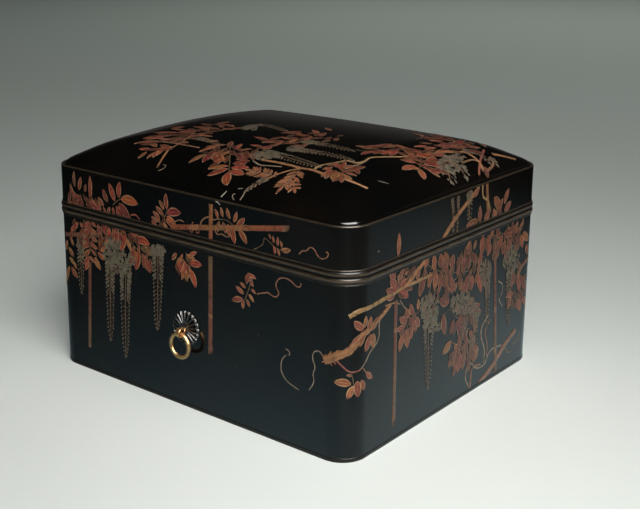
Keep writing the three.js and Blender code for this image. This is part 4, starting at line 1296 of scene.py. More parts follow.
bodyStrokes = [  # paint, width at both ends, points
    ("stem", 1, 0.8, [(-69, 125.1), (-61.3, 120.2), (-54.8, 115.9), (-47.3, 111.9)]),
    ("stem", 0.9, 0.7, [(0.8, 122.4), (2.7, 116.7), (5.5, 109.7)]),
    ("stem", 0.9, 0.7, [(62.1, 118.8), (63, 111), (58.2, 98.9)]),
    ("stem", 0.9, 0.7, [(-102.2, 111.5), (-99.2, 102.2), (-98.3, 97.5)]),
    ("tendril", 0.9, 0.8, [(69.5, 105.9), (75, 107.8), (79.6, 109.2), (82.3, 108.1), (86.8, 107.6), (89.5, 111.1),
        (87.7, 113.6), (86.8, 117), (89.4, 121.2), (94.7, 123), (100, 122.1), (104.4, 119.5), (107.9, 119.6),
        (108.7, 122.6)]), ("pale", 0.8, 0.6, [(95.8, 72), (97.6, 71.8), (99.4, 70), (98.5, 68), (97.2, 68.7)]),
    ("pale", 0.9, 0.7, [(95.9, 67.6), (92.3, 63), (91.4, 56.8), (93.2, 52.1), (97.7, 48.2), (107.6, 45)]),
    ("pale", 0.9, 0.7, [(128.1, 75.5), (125.5, 77.7), (122.1, 77.5), (119.5, 74.7), (119.6, 70.4), (121.4, 65.8),
        (119.7, 60.2), (120.6, 56.1), (118.9, 51.3), (116.4, 47.6)]),
    ("branch", 6.6, 3, [(128.9, 72.9), (134.5, 75.6), (140.7, 78.6), (145.9, 80.8), (150, 84.7), (152.8, 88.5),
        (157.6, 91.7), (163.9, 93.5), (170.7, 96.4), (179.8, 100.2), (188, 104.4)]),
    ("branch", 4.6, 4.2, [(203.3, 111.8), (211.8, 116.1), (220.3, 120.6), (229, 125)]),
    ("gold", 3.4, 2.6, [(146.2, 105.4), (153.9, 108.7), (165.6, 109.2), (179.4, 110.4), (196, 111.6),
        (209.5, 112.4), (237.6, 112.4)]), ("branch", 0.9, 0.6, [(127.3, 71), (131.4, 73.5)]),
    ("crimson", 0.9, 0.6, [(133.8, 73.4), (135.3, 70.1)]), ("crimson", 0.9, 0.6, [(135.9, 74.5), (138.1, 71.2)]),
    ("branch", 0.9, 0.6, [(133, 76.8), (134.4, 80.6)]), ("branch", 0.8, 0.6, [(136.6, 78.8), (139.3, 82)]),
    ("crimson", 1.2, 1, [(138.7, 74.1), (142.8, 70.1), (147.5, 66.4), (153.3, 66.3), (157.4, 68.3)]),
    ("pale", 1.3, 1, [(175.2, 99.4), (174.3, 92.5), (174.6, 85.9), (171.3, 80.5), (164.5, 76.8), (160.2, 71.8),
        (155.7, 67.3)]), ("stem", 0.9, 0.7, [(148.2, 66.4), (149.7, 60.5), (150.5, 55.3)]),
    ("vine", 1, 0.8, [(157.4, 67.5), (161.6, 61.9)]),
    ("pale", 1, 0.8, [(198.8, 104.3), (204.1, 97.7), (210.5, 92.9)]),
    ("gold", 1.2, 1, [(180.8, 105), (191.6, 104.1), (199, 101.3)]),
    ("stem", 1, 0.8, [(227.7, 124.6), (244.1, 114.6), (260.7, 108.8), (280.8, 103.7), (307.5, 100.1)]),
    ("stem", 0.9, 0.7, [(236, 116.6), (245, 120.3), (255.7, 122.3)]),
    ("stem", 0.9, 0.7, [(275.2, 102), (267.1, 97.9), (273.3, 90)]),
    ("stem", 0.9, 0.7, [(292.6, 100.7), (300.9, 106.6), (312.8, 108.5)]),
    ("stem", 1, 0.8, [(228.6, 90), (215.9, 86.9), (207.5, 80.4), (202.8, 73.6)]),
    ("pale", 0.8, 0.6, [(238.8, 114.4), (236.9, 102.8), (233.5, 94.7)]),
    ("pale", 0.8, 0.6, [(245.1, 99.9), (241.5, 93.2)]),
    ("stem", 0.9, 0.8, [(253.6, 75.2), (265.7, 78.7), (277.9, 68.1), (305, 61)]),
    ("stem", 1, 0.8, [(267.6, 53.6), (276.8, 45.9), (287.6, 37.6)]),
    ("stem", 0.9, 0.8, [(334.5, 122.8), (349.5, 117), (369.3, 115.9)]),
    ("stem", 0.9, 0.7, [(357.9, 68.8), (365.6, 59.9), (373, 53.5)]),
    ("trunk", 6, 5.2, [(313.3, 1.5), (325.4, 6.8), (336.1, 11.8), (346.7, 18.8), (356, 24.6), (370.5, 30.6)]),
    ("trunk", 4, 3.4, [(368.7, 77.1), (374.6, 84.1), (388.2, 90)]),
    ("trunk", 3, 2, [(299.8, -1.5), (300.5, 8.4), (302.6, 19.5), (314.9, 18.8)]),
    ("pale", 2, 1.6, [(323.7, 57.3), (315.1, 50.6), (314.3, 41.7), (320.2, 29), (319.6, 18.1)]),
    ("vine", 1.6, 1.4, [(327.3, 52.9), (320.3, 44.1), (324.6, 31.8), (323.9, 22.7)]),
    ("pale", 1.8, 1.4, [(347.8, 24.5), (334.7, 26.1), (327, 23.4), (321.3, 16.7), (308.8, 17.4), (299, 25.7)]),
    ("pale", 1.8, 1.4, [(293.5, 55.4), (289.9, 45.1), (295.5, 31.8), (294.7, 23.8), (292.5, 14.5), (297.7, 6),
        (301.2, -0.3)]), ("pale", 1.2, 0.8, [(366.7, 18.6), (376.6, 21.7), (377.8, 26.7)]),
    ("pale", 1.2, 0.9, [(337.1, 81.9), (343.9, 77.6), (344.6, 70.7), (340.3, 66), (345.9, 58.5)]),
    ("vine", 1, 0.8, [(351.2, 23.5), (358.7, 15), (367.2, 14)]),
]
bodyPoles = [  # from u, v to u, v, width, places of the joints, frayed end
    (-136.6, 109.6, -90, 117.5, 4.6, (0.5,), False), (-106.9, 92.4, -111.4, 19.2, 4.6, (), False),
    (25.4, 124.4, 24, 53.9, 5.4, (0.64,), True), (193.9, 105.6, 195.1, 17.2, 5.2, (0.25,), True),
    (328.8, 117.6, 340.5, 0, 5.2, (0.5, 0.8), False),
]
bodyRacemes = [  # width at both ends, tone, points
    (8.6, 5, 0, [(-116.7, 110.3), (-118, 90.1), (-118.3, 65.5)]),
    (11, 6.4, 0.1, [(-82.8, 100.6), (-83.7, 74.2), (-85.3, 33.7)]),
    (13, 6.4, 0, [(-64.7, 96.3), (-66.6, 69.9), (-68.2, 24.6)]),
    (12.5, 6.4, 0.1, [(-28.5, 121.2), (-29.5, 94.4), (-31.4, 56.4)]),
    (15, 6.4, 0, [(237, 81.5), (237.1, 59.2), (238.5, 26.6)]),
    (8.4, 6, 0.3, [(303.3, 62.3), (304.7, 47.1), (305.9, 33.5)]),
    (7.4, 5, 0.3, [(319.5, 85.7), (320.9, 70.5), (320.9, 53.9)]),
    (10, 6, 0.15, [(354.3, 86.7), (355.1, 64.5), (357.6, 40.6)]),
    (7, 4, 0.3, [(289.8, 64.6), (284.7, 54.8), (284.2, 43.6)]),
    (6, 4, 0.45, [(297.3, 46.1), (301.4, 33.2), (303.8, 22.4)]),
]
bodyHeads = [  # middle, two half axes, tone
    (-82.4, 108, 8.1, 1.7, -0.6, -10.7, 0.05), (-69.1, 100.2, 13.7, 2.9, -0.4, -8.9, 0),
    (-74, 114.5, 6.8, 1.4, -0.3, -4, 0.1), (-28.6, 118, 7.5, 1.5, -0.2, -3.9, 0.1),
    (236.6, 87.8, 12.2, -3.5, 0.6, -10.2, 0), (282.8, 78.7, 18.1, -5.1, 0.7, -8.2, 0.1),
    (300, 66.6, 12.4, -3.6, 0.4, -5, 0.35), (315.5, 94.9, 9.5, -2.4, 1, -10, 0.1),
    (356.7, 95.4, 11.9, -3, 1.2, -11.3, 0.05), (-117.1, 103.6, 3.7, 0.7, -0.3, -5.1, 0.2),
    (241.5, 73.3, 11, -3.3, 0.3, -4.7, 0.05),
]
bodySprays = [  # pairs, leaf length, leaf width, tone, points
    (2, 6, 2.6, 0.3, [(61.2, 120.1), (63, 116.8)]),
]
bodyChips = [  # from u, v to u, v, width
    (48.2, 46.4, 49.1, 46.3, 1.4), (70.3, 75.8, 71.2, 75.7, 1.2),
]
domeLeaves = [  # from u, v to u, v at the tip, width, tone
    (-68.2, -101.8, -68.1, -111.3, 4.6, 0.5), (-61.7, -101.5, -60.1, -109.4, 4, 0.4),
    (-59.9, -98, -55.8, -107.2, 4, 0.45), (-59, -94.6, -55.4, -104.4, 4, 0.4),
    (-69.4, -97.4, -79.3, -99.8, 3.6, 0.45), (-59.1, -91.3, -58.5, -99.3, 3.6, 0.35),
    (-66, -93.2, -76.4, -90.8, 3.4, 0.3), (-74.9, -85.2, -88.4, -93, 3.6, 0.3),
    (-74.3, -78.4, -88.1, -85.6, 4, 0.12), (-72.4, -71.5, -86.8, -77, 4, 0.16),
    (-74.3, -61.6, -89.1, -66.3, 4, 0.12), (-75.9, -53, -91.4, -53.3, 4, 0.16),
    (-61.2, -57.3, -76.7, -57.9, 4, 0.14), (-49.3, -60.1, -63.1, -67.2, 4.2, 0.2),
    (-62.5, -78.1, -77.6, -81.3, 3.6, 0.1), (-53.9, -69.5, -62.3, -82.5, 3.8, 0.25),
    (-57.9, -43.5, -73.2, -41, 4, 0.3), (-52.3, -37.2, -67.7, -36.8, 4, 0.35), (-53, -20.2, -68.3, -22.8, 4, 0.4),
    (-38.4, -21.1, -48, -32.1, 4, 0.45), (-40.5, -58, -56, -57.6, 4, 0.25), (-66.4, -9.8, -70.2, -22.6, 3.6, 0.3),
    (-82.8, -62.8, -94.7, -71.3, 3.6, 0.2), (-84.4, -44.4, -91.6, -52, 3.6, 0.2),
    (-15.8, -90.7, -19.4, -105.2, 4.4, 0.75), (-12.9, -86.7, -8.9, -101.6, 6, 0.24),
    (-17.8, -77.8, -24.1, -89.8, 4.4, 0.4), (-7.2, -80.3, -6.7, -95.8, 4.6, 0.5),
    (-1.2, -80.2, -3.1, -93.3, 4.4, 0.55), (-13.8, -71, -25.4, -80.8, 4.2, 0.4),
    (7.8, -93.1, -0.9, -98.8, 4.4, 0.45), (15.1, -99.9, 2.1, -107.3, 4.6, 0.5),
    (18.1, -103.1, 7.8, -114.2, 5.4, 0.2), (21.5, -106.9, 31.6, -118.7, 6.6, 0.5),
    (21.5, -104.7, 36.1, -105.8, 5.6, 0.36), (19.4, -101.4, 33.3, -97.3, 5.2, 0.22),
    (16.9, -96.5, 26.5, -88.7, 5, 0.25), (14.8, -91, 22.6, -81, 4.8, 0.28), (7.9, -84.6, 13.4, -78.5, 4.4, 0.5),
    (0.3, -77.3, -4.8, -62.8, 4.2, 0.3), (-8.2, -74.4, -16.7, -61.4, 4, 0.4), (6.1, -77.1, 11.3, -69.4, 4, 0.3),
    (-0.8, -89.3, 5.1, -99.9, 4, 0.5), (17.2, -84.9, 20.5, -75.4, 4, 0.25), (-26.7, -65.1, -35.4, -72.6, 3.8, 0.2),
    (4.3, -43.3, -11.2, -41.8, 4, 0.2), (15.6, -46.9, 4.5, -50.4, 4, 0.24), (17.1, -40.3, 21.6, -55.2, 4, 0.2),
    (18.4, -33.6, 6.3, -30.1, 4, 0.3), (21.3, -27.5, 23.9, -41.4, 4.2, 0.4), (20.8, -18.7, 6.8, -12.1, 4.2, 0.42),
    (23.6, -14, 28.8, -28.6, 4.2, 0.45), (21.6, -3.4, 8.9, 5.4, 4.2, 0.4), (24.5, 3.3, 30.1, -11.2, 4, 0.4),
    (21.9, 13.2, 10.2, 20.4, 4, 0.35), (34.7, -41.4, 32.2, -50.2, 4, 0.35), (37.7, -35.8, 40.8, -51, 4, 0.4),
    (14.2, -61.5, 2.5, -61.9, 4, 0.2), (20.7, -57.5, 19.7, -67.7, 4, 0.15), (93.3, -77.7, 93.3, -90, 4.6, 0.2),
    (98.4, -80.9, 96.2, -90.4, 4.4, 0.3), (91.6, -74.4, 86.8, -80.7, 4.4, 0.3),
    (99.1, -78.3, 104.7, -91.2, 5, 0.62), (101.9, -77.7, 111, -90.3, 4.8, 0.6),
    (99.3, -70.6, 100.7, -60.7, 4.6, 0.35), (102.1, -73.1, 107.5, -66.4, 4.6, 0.35),
    (104.2, -75.9, 112, -73.6, 4.6, 0.42), (105.3, -79.7, 113.7, -81.7, 4.4, 0.5),
    (94.5, -72.4, 84.7, -65.5, 4, 0.4), (97.2, -70.1, 90.4, -58.8, 4, 0.4), (90.3, -21.7, 88.2, -37, 5, 0.2),
    (86.3, -16.5, 76.5, -20.7, 4.4, 0.5), (93, -14.4, 93.7, -29.4, 4.6, 0.4), (96.8, -10.1, 99.3, -25.4, 4.6, 0.35),
    (100.9, -7.6, 104.2, -22.6, 4.4, 0.3), (89.7, -4.5, 79.2, -5.3, 4.2, 0.5), (94.3, 0.7, 86.7, -2.8, 4.2, 0.5),
    (83.4, -6, 76.7, -12.1, 4, 0.45), (100.4, 1, 90, 5.6, 4, 0.4), (78.6, -14.8, 69.4, -18.6, 3.8, 0.5),
    (121.1, -13.7, 112.6, -22, 4.8, 0.3), (123.8, -19.1, 122.9, -34.5, 5, 0.52),
    (119.5, -10, 108.1, -11.5, 4.6, 0.35), (114.3, -6.2, 103.4, -3.3, 4.4, 0.3), (126.3, -18.8, 125, -26, 4, 0.4),
    (127.4, -19.2, 137, -27, 5.6, 0.42), (125.4, -8.7, 126.5, 6.7, 5.4, 0.18), (128, -13.6, 136.2, -3.3, 5, 0.28),
    (122.8, -3.4, 121.3, 12, 4.8, 0.5), (118.5, -0.7, 114.3, 14.3, 4.8, 0.7), (117.3, -2.7, 106.2, 7.3, 4.4, 0.4),
    (130.7, -12.3, 139.2, -9.3, 4.4, 0.36), (118.8, 12.2, 119.4, 27.6, 4.6, 0.45),
    (115.6, 21.9, 118.4, 37.2, 4.6, 0.5), (104.3, 3.4, 96.5, 4, 4, 0.3), (83.3, 54.3, 69.1, 60.6, 4, 0.2),
    (94.2, 52.3, 83.3, 50.3, 4, 0.24), (101.4, 54.2, 97, 42.1, 4, 0.2), (108.5, 51.4, 107.7, 35.9, 4.2, 0.16),
    (112.5, 56.8, 113.4, 41.4, 4, 0.3), (92.1, 72.3, 78, 79, 4, 0.2), (102.8, 69.9, 95.2, 65.6, 4, 0.2),
    (110.6, 70.7, 106.1, 61.5, 4, 0.18), (117.2, 72.1, 111.8, 65.8, 4, 0.2), (121.9, 76.7, 118.2, 67.4, 4, 0.2),
    (103.2, 35.4, 97.1, 27.8, 4, 0.3), (117.3, 62.8, 117.5, 47.4, 4, 0.3), (110.5, 29.7, 108, 16.8, 4, 0.4),
    (121.5, 86.9, 112.5, 89.5, 4, 0.2), (104.3, 25.2, 101.5, 12.9, 4, 0.35), (124.9, 65.4, 123.2, 50, 4, 0.4),
]
domeStrokes = [  # paint, width at both ends, points
    ("branch", 2.6, 1.4, [(-53.9, -89.9), (-48.4, -102.8), (-42, -116.3)]),
    ("pale", 0.9, 0.7, [(-38.3, -118.8), (-35.7, -116.2), (-36, -112.7), (-39.6, -112.3)]),
    ("stem", 1, 0.8, [(-77.3, -99.5), (-67.7, -96.9), (-58.2, -91.1)]),
    ("trunk", 2.2, 1.8, [(-90.8, -94.4), (-81, -86.4), (-59.1, -83.8), (-28.7, -83.9)]),
    ("branch", 1.6, 1.2, [(-51.7, -91), (-53.6, -75.1), (-65.7, -50.6)]),
    ("stem", 1, 0.8, [(-23.2, -89.6), (-9.2, -86.8), (2.8, -84.5)]),
    ("stem", 1, 0.8, [(-13, -67.3), (7.9, -89.9), (21.8, -106)]),
    ("pale", 1.6, 1.2, [(28.7, -87.8), (38.3, -91.2), (46.7, -89.9), (56.3, -88)]),
    ("branch", 3, 2.6, [(34.1, -84.1), (55.1, -83.3), (70, -84.4), (80.3, -83.7), (94.7, -86.3)]),
    ("branch", 2, 1.4, [(71, -85.7), (63.5, -93.2), (56.2, -105.1)]),
    ("gold", 2.4, 1.8, [(81.5, -83), (80.9, -75.5), (85.8, -64.6), (89.4, -56.3), (97.6, -55.4), (99.4, -47.1),
        (97.9, -38.8), (102.9, -28.5), (109.3, -17.2), (115.2, 0.4)]),
    ("pale", 1.4, 1.2, [(96.2, -65.3), (101, -57.6), (99.5, -43.5)]),
    ("branch", 3, 2.2, [(109.1, -84.6), (117.7, -83.5), (127.5, -81.8)]),
    ("pale", 1, 0.8, [(51.4, -114.4), (49.7, -118.8), (51.1, -123.5), (50.5, -126)]),
    ("pale", 0.9, 0.7, [(42.7, -119.4), (46.3, -118.2)]),
    ("pale", 0.8, 0.6, [(43.5, -123.4), (42, -124.9), (45.4, -126.6)]),
    ("stem", 1, 0.8, [(107.9, 11.4), (117.6, -1.9), (126.8, -17)]),
    ("branch", 3.4, 2.6, [(116.7, 20), (120, 37.5), (124.7, 50.5), (135.3, 51), (142.6, 46.5)]),
    ("vine", 1.8, 1.6, [(133.4, 30.5), (133.1, 45.6), (137.3, 50.7), (143.7, 44.7)]),
    ("crimson", 2, 1.6, [(125.4, 77), (136.5, 52.1), (144.9, 36.8)]),
    ("branch", 3.4, 2.6, [(131.7, 78.7), (135.7, 87.9), (141, 99.8)]),
    ("vine", 2, 1.6, [(134.3, 71.2), (141.3, 63.8), (144.2, 48.4)]),
    ("stem", 1, 0.8, [(77.3, -28.1), (89.9, -25.4), (103.6, -11.5)]),
    ("trunk", 1.2, 1, [(15.7, -54), (24.5, -40.9), (29.1, -12.6)]),
    ("trunk", 1.2, 1, [(97, 42.1), (109.2, 55), (122.8, 72)]),
    ("trunk", 1.4, 1, [(-68, -66.2), (-54.4, -51.9), (-45.2, -25.6)]),
]
domePoles = [  # from u, v to u, v, width, places of the joints, frayed end
    (142, 52.1, 146.7, 46, 4.8, (), False),
]
domeRacemes = [  # width at both ends, tone, points
    (13, 6, 0.1, [(23.1, -71.6), (46.1, -72.5), (67.4, -75.7), (81.5, -77.4)]),
    (11, 5.5, 0.25, [(35.9, -54.6), (54.7, -51.8), (75.2, -50.8), (92.8, -53.7)]),
    (10, 5.5, 0.3, [(29.2, -29.9), (49.9, -30.2), (76.8, -32.3)]),
    (9, 5, 0.1, [(-37, -25), (-36.2, -4), (-0.9, -13)]),
    (6, 3.5, 0.45, [(56.8, -103.7), (53.6, -111.7), (51.2, -118.4)]), (14, 10, 0.1, [(131.9, 8.9), (142.4, -0.5)]),
    (13, 9, 0.05, [(133.1, 23.8), (142.9, 19.7)]), (7, 5, 0.4, [(135.2, 69.6), (141.2, 68.7)]),
    (7, 5, 0.3, [(120.3, 51.8), (128.7, 62), (138.2, 61.5)]),
    (8, 4.5, 0.35, [(-49.5, -67.1), (-34.5, -69.1), (-18.9, -73.4)]),
]
domeHeads = [  # middle, two half axes, tone
    (30.5, -75.5, 9.3, 4.8, 5.9, -6.8, 0.05), (39.6, -52.1, 4.9, 3.4, 4.3, -5.2, 0.25),
    (-35.7, -19.3, 4.6, 3.4, 6.5, -7.2, 0.1), (131.1, 15.7, 2.4, 10.3, 6.2, -9.8, 0.05),
    (127.2, 30.5, 2.3, 9.3, 3.7, -6, 0.05), (33.7, -30.6, 3.7, 2.7, 4, -5, 0.3),
]
domeSprays = [  # pairs, leaf length, leaf width, tone, points
    (7, 7, 2.2, 0.55, [(61.7, -100.8), (51.7, -99.9), (38.4, -99.9)]),
    (6, 9, 2.4, 0.5, [(72.4, -88.4), (74.8, -98), (75.1, -108)]),
    (4, 6, 2, 0.5, [(71, -96.6), (77.7, -102.5), (84.7, -108.8)]),
]
domeChips = [  # from u, v to u, v, width
    (33.2, -126.7, 35.1, -122.6, 2.6), (124.6, -66.2, 130.4, -61.2, 1.2),
]
lidScatters = [  # middle, reach both ways, count, leaf length, leaf width, tone, way they point
    (-110, 141, 22, 5, 13, 9, 4, 0.1, 110), (-24, 142, 9, 5, 5, 8, 3.6, 0.25, 120),
    (325, 142, 16, 5, 6, 9, 4, 0.35, 80),
]
bodyScatters = [  # middle, reach both ways, count, leaf length, leaf width, tone, way they point
    (-110, 114, 22, 12, 22, 9, 4, 0.25, -100), (-72, 122, 24, 7, 16, 9, 4, 0.25, -80),
    (-44, 112, 12, 10, 6, 10, 4.4, 0.4, -70), (0, 110, 8, 9, 5, 8, 3.6, 0.45, -80),
    (204, 116, 12, 10, 9, 9, 4, 0.25, 0), (210, 83, 13, 9, 8, 10, 4, 0.4, -100),
    (268, 112, 46, 10, 26, 11, 4.2, 0.4, -92), (286, 96, 30, 8, 14, 11, 4.2, 0.35, -92),
    (345, 112, 34, 12, 20, 11, 4.2, 0.45, -85), (283, 60, 15, 14, 10, 12, 4.4, 0.3, -85),
    (284, 34, 18, 12, 12, 12, 4.4, 0.3, -90), (371, 68, 12, 18, 14, 11, 4.2, 0.4, -80),
    (300, 42, 10, 20, 8, 10, 4, 0.5, -85), (243, 92, 16, 12, 8, 9, 4, 0.5, -90),
]
domeScatters = [  # middle, reach both ways, count, leaf length, leaf width, tone, way they point
    (-68, -75, 22, 26, 20, 12, 4, 0.2, -160), (-62, -38, 18, 18, 12, 12, 4, 0.25, -170),
    (8, -86, 24, 18, 18, 12, 4.4, 0.35, -60), (14, -30, 16, 34, 18, 12, 4.2, 0.3, -110),
    (98, -75, 14, 16, 12, 11, 4.2, 0.4, -60), (95, -8, 18, 16, 14, 12, 4.2, 0.45, -150),
    (122, 4, 16, 22, 18, 12, 4.4, 0.4, 60), (106, 56, 24, 24, 24, 12, 4.2, 0.2, -110),
    (40, -20, 10, 24, 8, 11, 4, 0.3, -90),
]


def wallFace(s):
    # Each face takes its wall and half of the corner at either end
    wide, half = frontRun + cornerArc, girth / 2
    s += wide / 2
    return ("Front", "Right", "Back", "Left")[int(s % girth // half) * 2 + (s % half >= wide)]


pens = {  # limits are the heights that the paint stays between
    "lidWall": {
        "part": "lid",
        "warm": (1.5, 1.2, 0.85),
        "surface": onWall,
        "face": wallFace,
        "limits": (lidRimHigh - 0.35, shoulder - 0.1),
    },
    "bodyWall": {"part": "body", "surface": onWall, "face": wallFace, "limits": (3.5, bodyRimLow + 0.35)},
    "dome": {
        "part": "dome",
        "surface": onDome,
        "face": lambda x: "Left" if x < 0 else "Right",
        "limits": (-200, 200),
        # painted shade on the dome's paint
        "paintedShade": 0.8,
    },
}
drawings = {
    "lidWall": (lidLeaves, lidStrokes, lidPoles, lidRacemes, [], [], lidScatters),
    "bodyWall": (bodyLeaves, bodyStrokes, bodyPoles, bodyRacemes, bodyHeads, bodySprays, bodyScatters),
    "dome": (domeLeaves, domeStrokes, domePoles, domeRacemes, domeHeads, domeSprays, domeScatters),
}
chipped = {"lidWall": lidChips, "bodyWall": bodyChips, "dome": domeChips}


drawingForm = {
    "thick": 2.5,  # mm, the width from which a stroke is ragged
    "ragged": (0.05, 0.14),
    "swing": 0.3,  # most turn, growth and change of tone where leaves vary
    "growth": 0.2,
    "tone": 0.15,
    "chipWidths": (0.5, 0.3),  # share of the width at its start, and mm at its end
    "chipRagged": 0.4,
    "chipLift": 0.14,
}


def drawAll(name, chips, rng, by=0.0, vary=0.0):
    # by moves the drawing round the box, and vary changes its leaves a little
    p, pen = drawingForm, pens[name]
    leaves, strokes, poles, racemes, heads, sprays, scatters = drawings[name]

    def moved(points):
        return [(u + by, v) for u, v in points]

    for u, v, *rest in scatters:
        scatterLeaves(pen, u + by, v, *rest, rng)
    for u0, v0, u1, v1, width, joints, frayed in poles:
        drawPole(pen, u0 + by, v0, u1 + by, v1, width, joints, frayed, rng)
    for paint, a, b, points in strokes:
        drawStroke(pen, paint, a, b, moved(points), rng, ragged=p["ragged"][a > p["thick"]])
    for u0, v0, u1, v1, width, tone in leaves:
        swing, size = rng.uniform(-1, 1) * vary * p["swing"], 1 + rng.uniform(-1, 1) * vary * p["growth"]
        du, dv = rotated((u1 - u0) * size, (v1 - v0) * size, swing)
        tone += rng.uniform(-1, 1) * vary * p["tone"]
        drawLeaf(pen, u0 + by, v0, u0 + by + du, v0 + dv, width, tone, rng)
    for pairs, length, width, tone, points in sprays:
        drawSpray(pen, pairs, length, width, tone, moved(points), rng)
    for u, v, au, av, bu, bv, tone in heads:
        drawHead(pen, u + by, v, au, av, bu, bv, tone, rng)
    for a, b, tone, points in racemes:
        drawRaceme(pen, a, b, tone, moved(points), rng)
    for u0, v0, u1, v1, width in chips:
        points = [(u0, v0), ((u0 + u1) / 2 + 0.2 * width, (v0 + v1) / 2), (u1, v1)]
        start, end = width * p["chipWidths"][0], p["chipWidths"][1]
        drawStroke(pen, "chip", start, end, moved(points), rng, ragged=p["chipRagged"], lift=p["chipLift"])


paintLook = {
    "rubs": (320, 5),  # scale and detail
    "worn": [(0.34, 0.35), (0.5, 1)],
    "wornShare": 0.8,
    "metal": 0.6,
    "roughness": (0.3, 0.5),
    "ior": 1.4,
}


def paintMaterial(look):
    mat, nodes, links, shader = newMaterial("painted lacquer and gold")
    paint = attribute(nodes, "paint")
    rub = noise(nodes, links, objectPlace(nodes), *look["rubs"])
    worn = ramp(nodes, links, rub, look["worn"])
    links.new(blend(nodes, links, look["wornShare"], paint["Color"], worn, "MULTIPLY"), shader.inputs["Base Color"])
    metal = nodes.new("ShaderNodeMath")
    metal.operation = "MULTIPLY"
    metal.inputs[1].default_value = look["metal"]
    links.new(paint["Alpha"], metal.inputs[0])
    links.new(metal.outputs["Value"], shader.inputs["Metallic"])
    links.new(spread(nodes, links, rub, look["roughness"]), shader.inputs["Roughness"])
    shader.inputs["IOR"].default_value = look["ior"]
    return mat


def buildOrnament():
    # The walls' drawing comes again half way round the box, a little varied and without chips
    for by, vary, seed in ((0, 0, 11), (girth / 2, 1, 23)):
        rng = random.Random(seed)
        for name in ("lidWall", "bodyWall"):
            drawAll(name, [] if by else chipped[name], rng, by, vary)
    drawAll("dome", chipped["dome"], random.Random(5))
    finish = paintMaterial(paintLook)
    for (part, face, layer), sheet in sheets.items():
        body = "box" if part == "body" else "lid"
        name = f"{part}{face}{layer}"
        mesh = addObject(name, sheet["verts"], sheet["faces"], finish, body, "gold_lacquer", sharp=0).data
        colours = mesh.color_attributes.new("paint", "FLOAT_COLOR", "POINT")
        colours.data.foreach_set("color", np.array(sheet["paint"], np.float32).ravel())
        flat = np.array(sheet["flat"], np.float32)
        low = flat.min(0)
        flat = (flat - low) / (flat.max(0) - low).max()
        uv = mesh.uv_layers.new(name="OFBake")
        corners = np.zeros(len(mesh.loops), np.int32)
        mesh.loops.foreach_get("vertex_index", corners)
        uv.data.foreach_set("uv", flat[corners].ravel())


buildOrnament()
print("ornament drawn")


fitting = {  # mm, apart from the counts
    "height": 63.8,
    "petals": 18,
    "petalPoints": 16,
    "rings": 34,
    "radius": 13.4,
    "hub": 3.9,
    "hubRise": 0.5,
    "hubFall": 0.75,
    "hubDimple": 0.2,
    "hubGroove": 0.35,
    "top": 2.8,
    "edge": 1.3,
    "edgeRound": 0.75,
    "edgeTurns": (25, 50, 75, 90, 91),  # degrees; the last one goes down to the wall
    "hollow": 1.05,
    "ridge": 0.3,  # half the width of the ridge between two petals
    "tipRidge": 0.9,
    "tipNarrow": 0.5,
    "hubRidge": 0.5,
    "hollowRun": 0.55,
    "domePower": 2.4,
    "tipLift": 0.25,
    "notch": 0.55,
    "scallop": 0.06,
    "standOff": 7.4,
    "eyeSag": 1.9,
    "eyeNeck": 3.6,
    "eyeHole": 2.75,
    "eyePoints": 32,
    "legs": ((1.4, 8), (1.4, 1.6), (1.1, 0.4), (0.4, 0)),  # past the wall, and aside
    "legGap": 0.5,
    "strip": 0.8,
    "stripWidth": 4.2,
    "stripPoints": 16,
    "stripSquare": (0.35, 0.8),
    "ringRadius": 9.2,
    "ringWire": 1.5,
    "ringDrop": 0.8,
    "ringPoints": (96, 20),
    "wireWaves": ((0.015, 3, 0.7), (-0.01, 7, 0)),  # share of the wire, waves round the ring, start in radians
}


def rosetteMesh():
    f, perPetal, rings = fitting, fitting["petalPoints"], fitting["rings"]
    around = f["petals"] * perPetal
    loops, depths = [], []
    flat = f["radius"] - f["edgeRound"]
    hubShare, petalRun = f["hub"] / flat, flat - f["hub"]
    for r in range(rings + 1):
        reach = r / rings
        loop = []
        for a in range(around):
            aside = abs(a % perPetal / perPetal - 0.5) * 2  # 0 on the petal's middle, 1 between petals
            angle = 2 * math.pi * (a - perPetal / 2) / around
            radius = flat * reach
            if reach < hubShare:
                # A low button with a groove round it
                inHub = reach / hubShare
                dimple = f["hubDimple"] * (1 - smoothStep(0, 0.35, inHub))
                lift = f["top"] + f["hubRise"] - f["hubFall"] * inHub**4 - dimple
                depth = f["hubGroove"] * smoothStep(0.7, 1, inHub)
            else:
                along = (reach - hubShare) / (1 - hubShare)
                dome = f["edge"] + (f["top"] - f["edge"]) * math.sqrt(max(0, 1 - along ** f["domePower"]))
                fromSide = (1 - aside) * math.pi * radius / f["petals"] - f["ridge"]
                fromTip = (1 - along) * petalRun - f["tipRidge"] + f["edgeRound"] - f["tipNarrow"] * aside
                fromHub = along * petalRun - f["hubRidge"]
                depth = smoothStep(0, f["hollowRun"], min(fromSide, fromTip, fromHub))
                lift = dome - f["hollow"] * depth * (0.6 + 0.4 * along)
                lift += f["tipLift"] * smoothStep(0.75, 1, along) * (1 - aside)
                lift -= f["notch"] * smoothStep(0.86, 1.0, aside) * smoothStep(0.55, 0.95, along)
                radius *= 1 - f["scallop"] * along**4 * aside**3
            loop.append((radius * math.cos(angle), -lift, radius * math.sin(angle)))
            depths.append(depth)
        loops.append(loop)
    for turn in f["edgeTurns"]:
        t = math.radians(min(turn, 90))
        out, down = f["edgeRound"] * math.sin(t), f["edgeRound"] * (1 - math.cos(t))
        edge = []
        for x, y, z in loop:
            grow = 1 + out / math.hypot(x, z)
            edge.append((x * grow, 0 if turn > 90 else y + down * min(1, -y / f["edgeRound"] * 0.9), z * grow))
            depths.append(0.1 if turn < 60 else 0.6)
        loops.append(edge)
    return skin(loops), depths


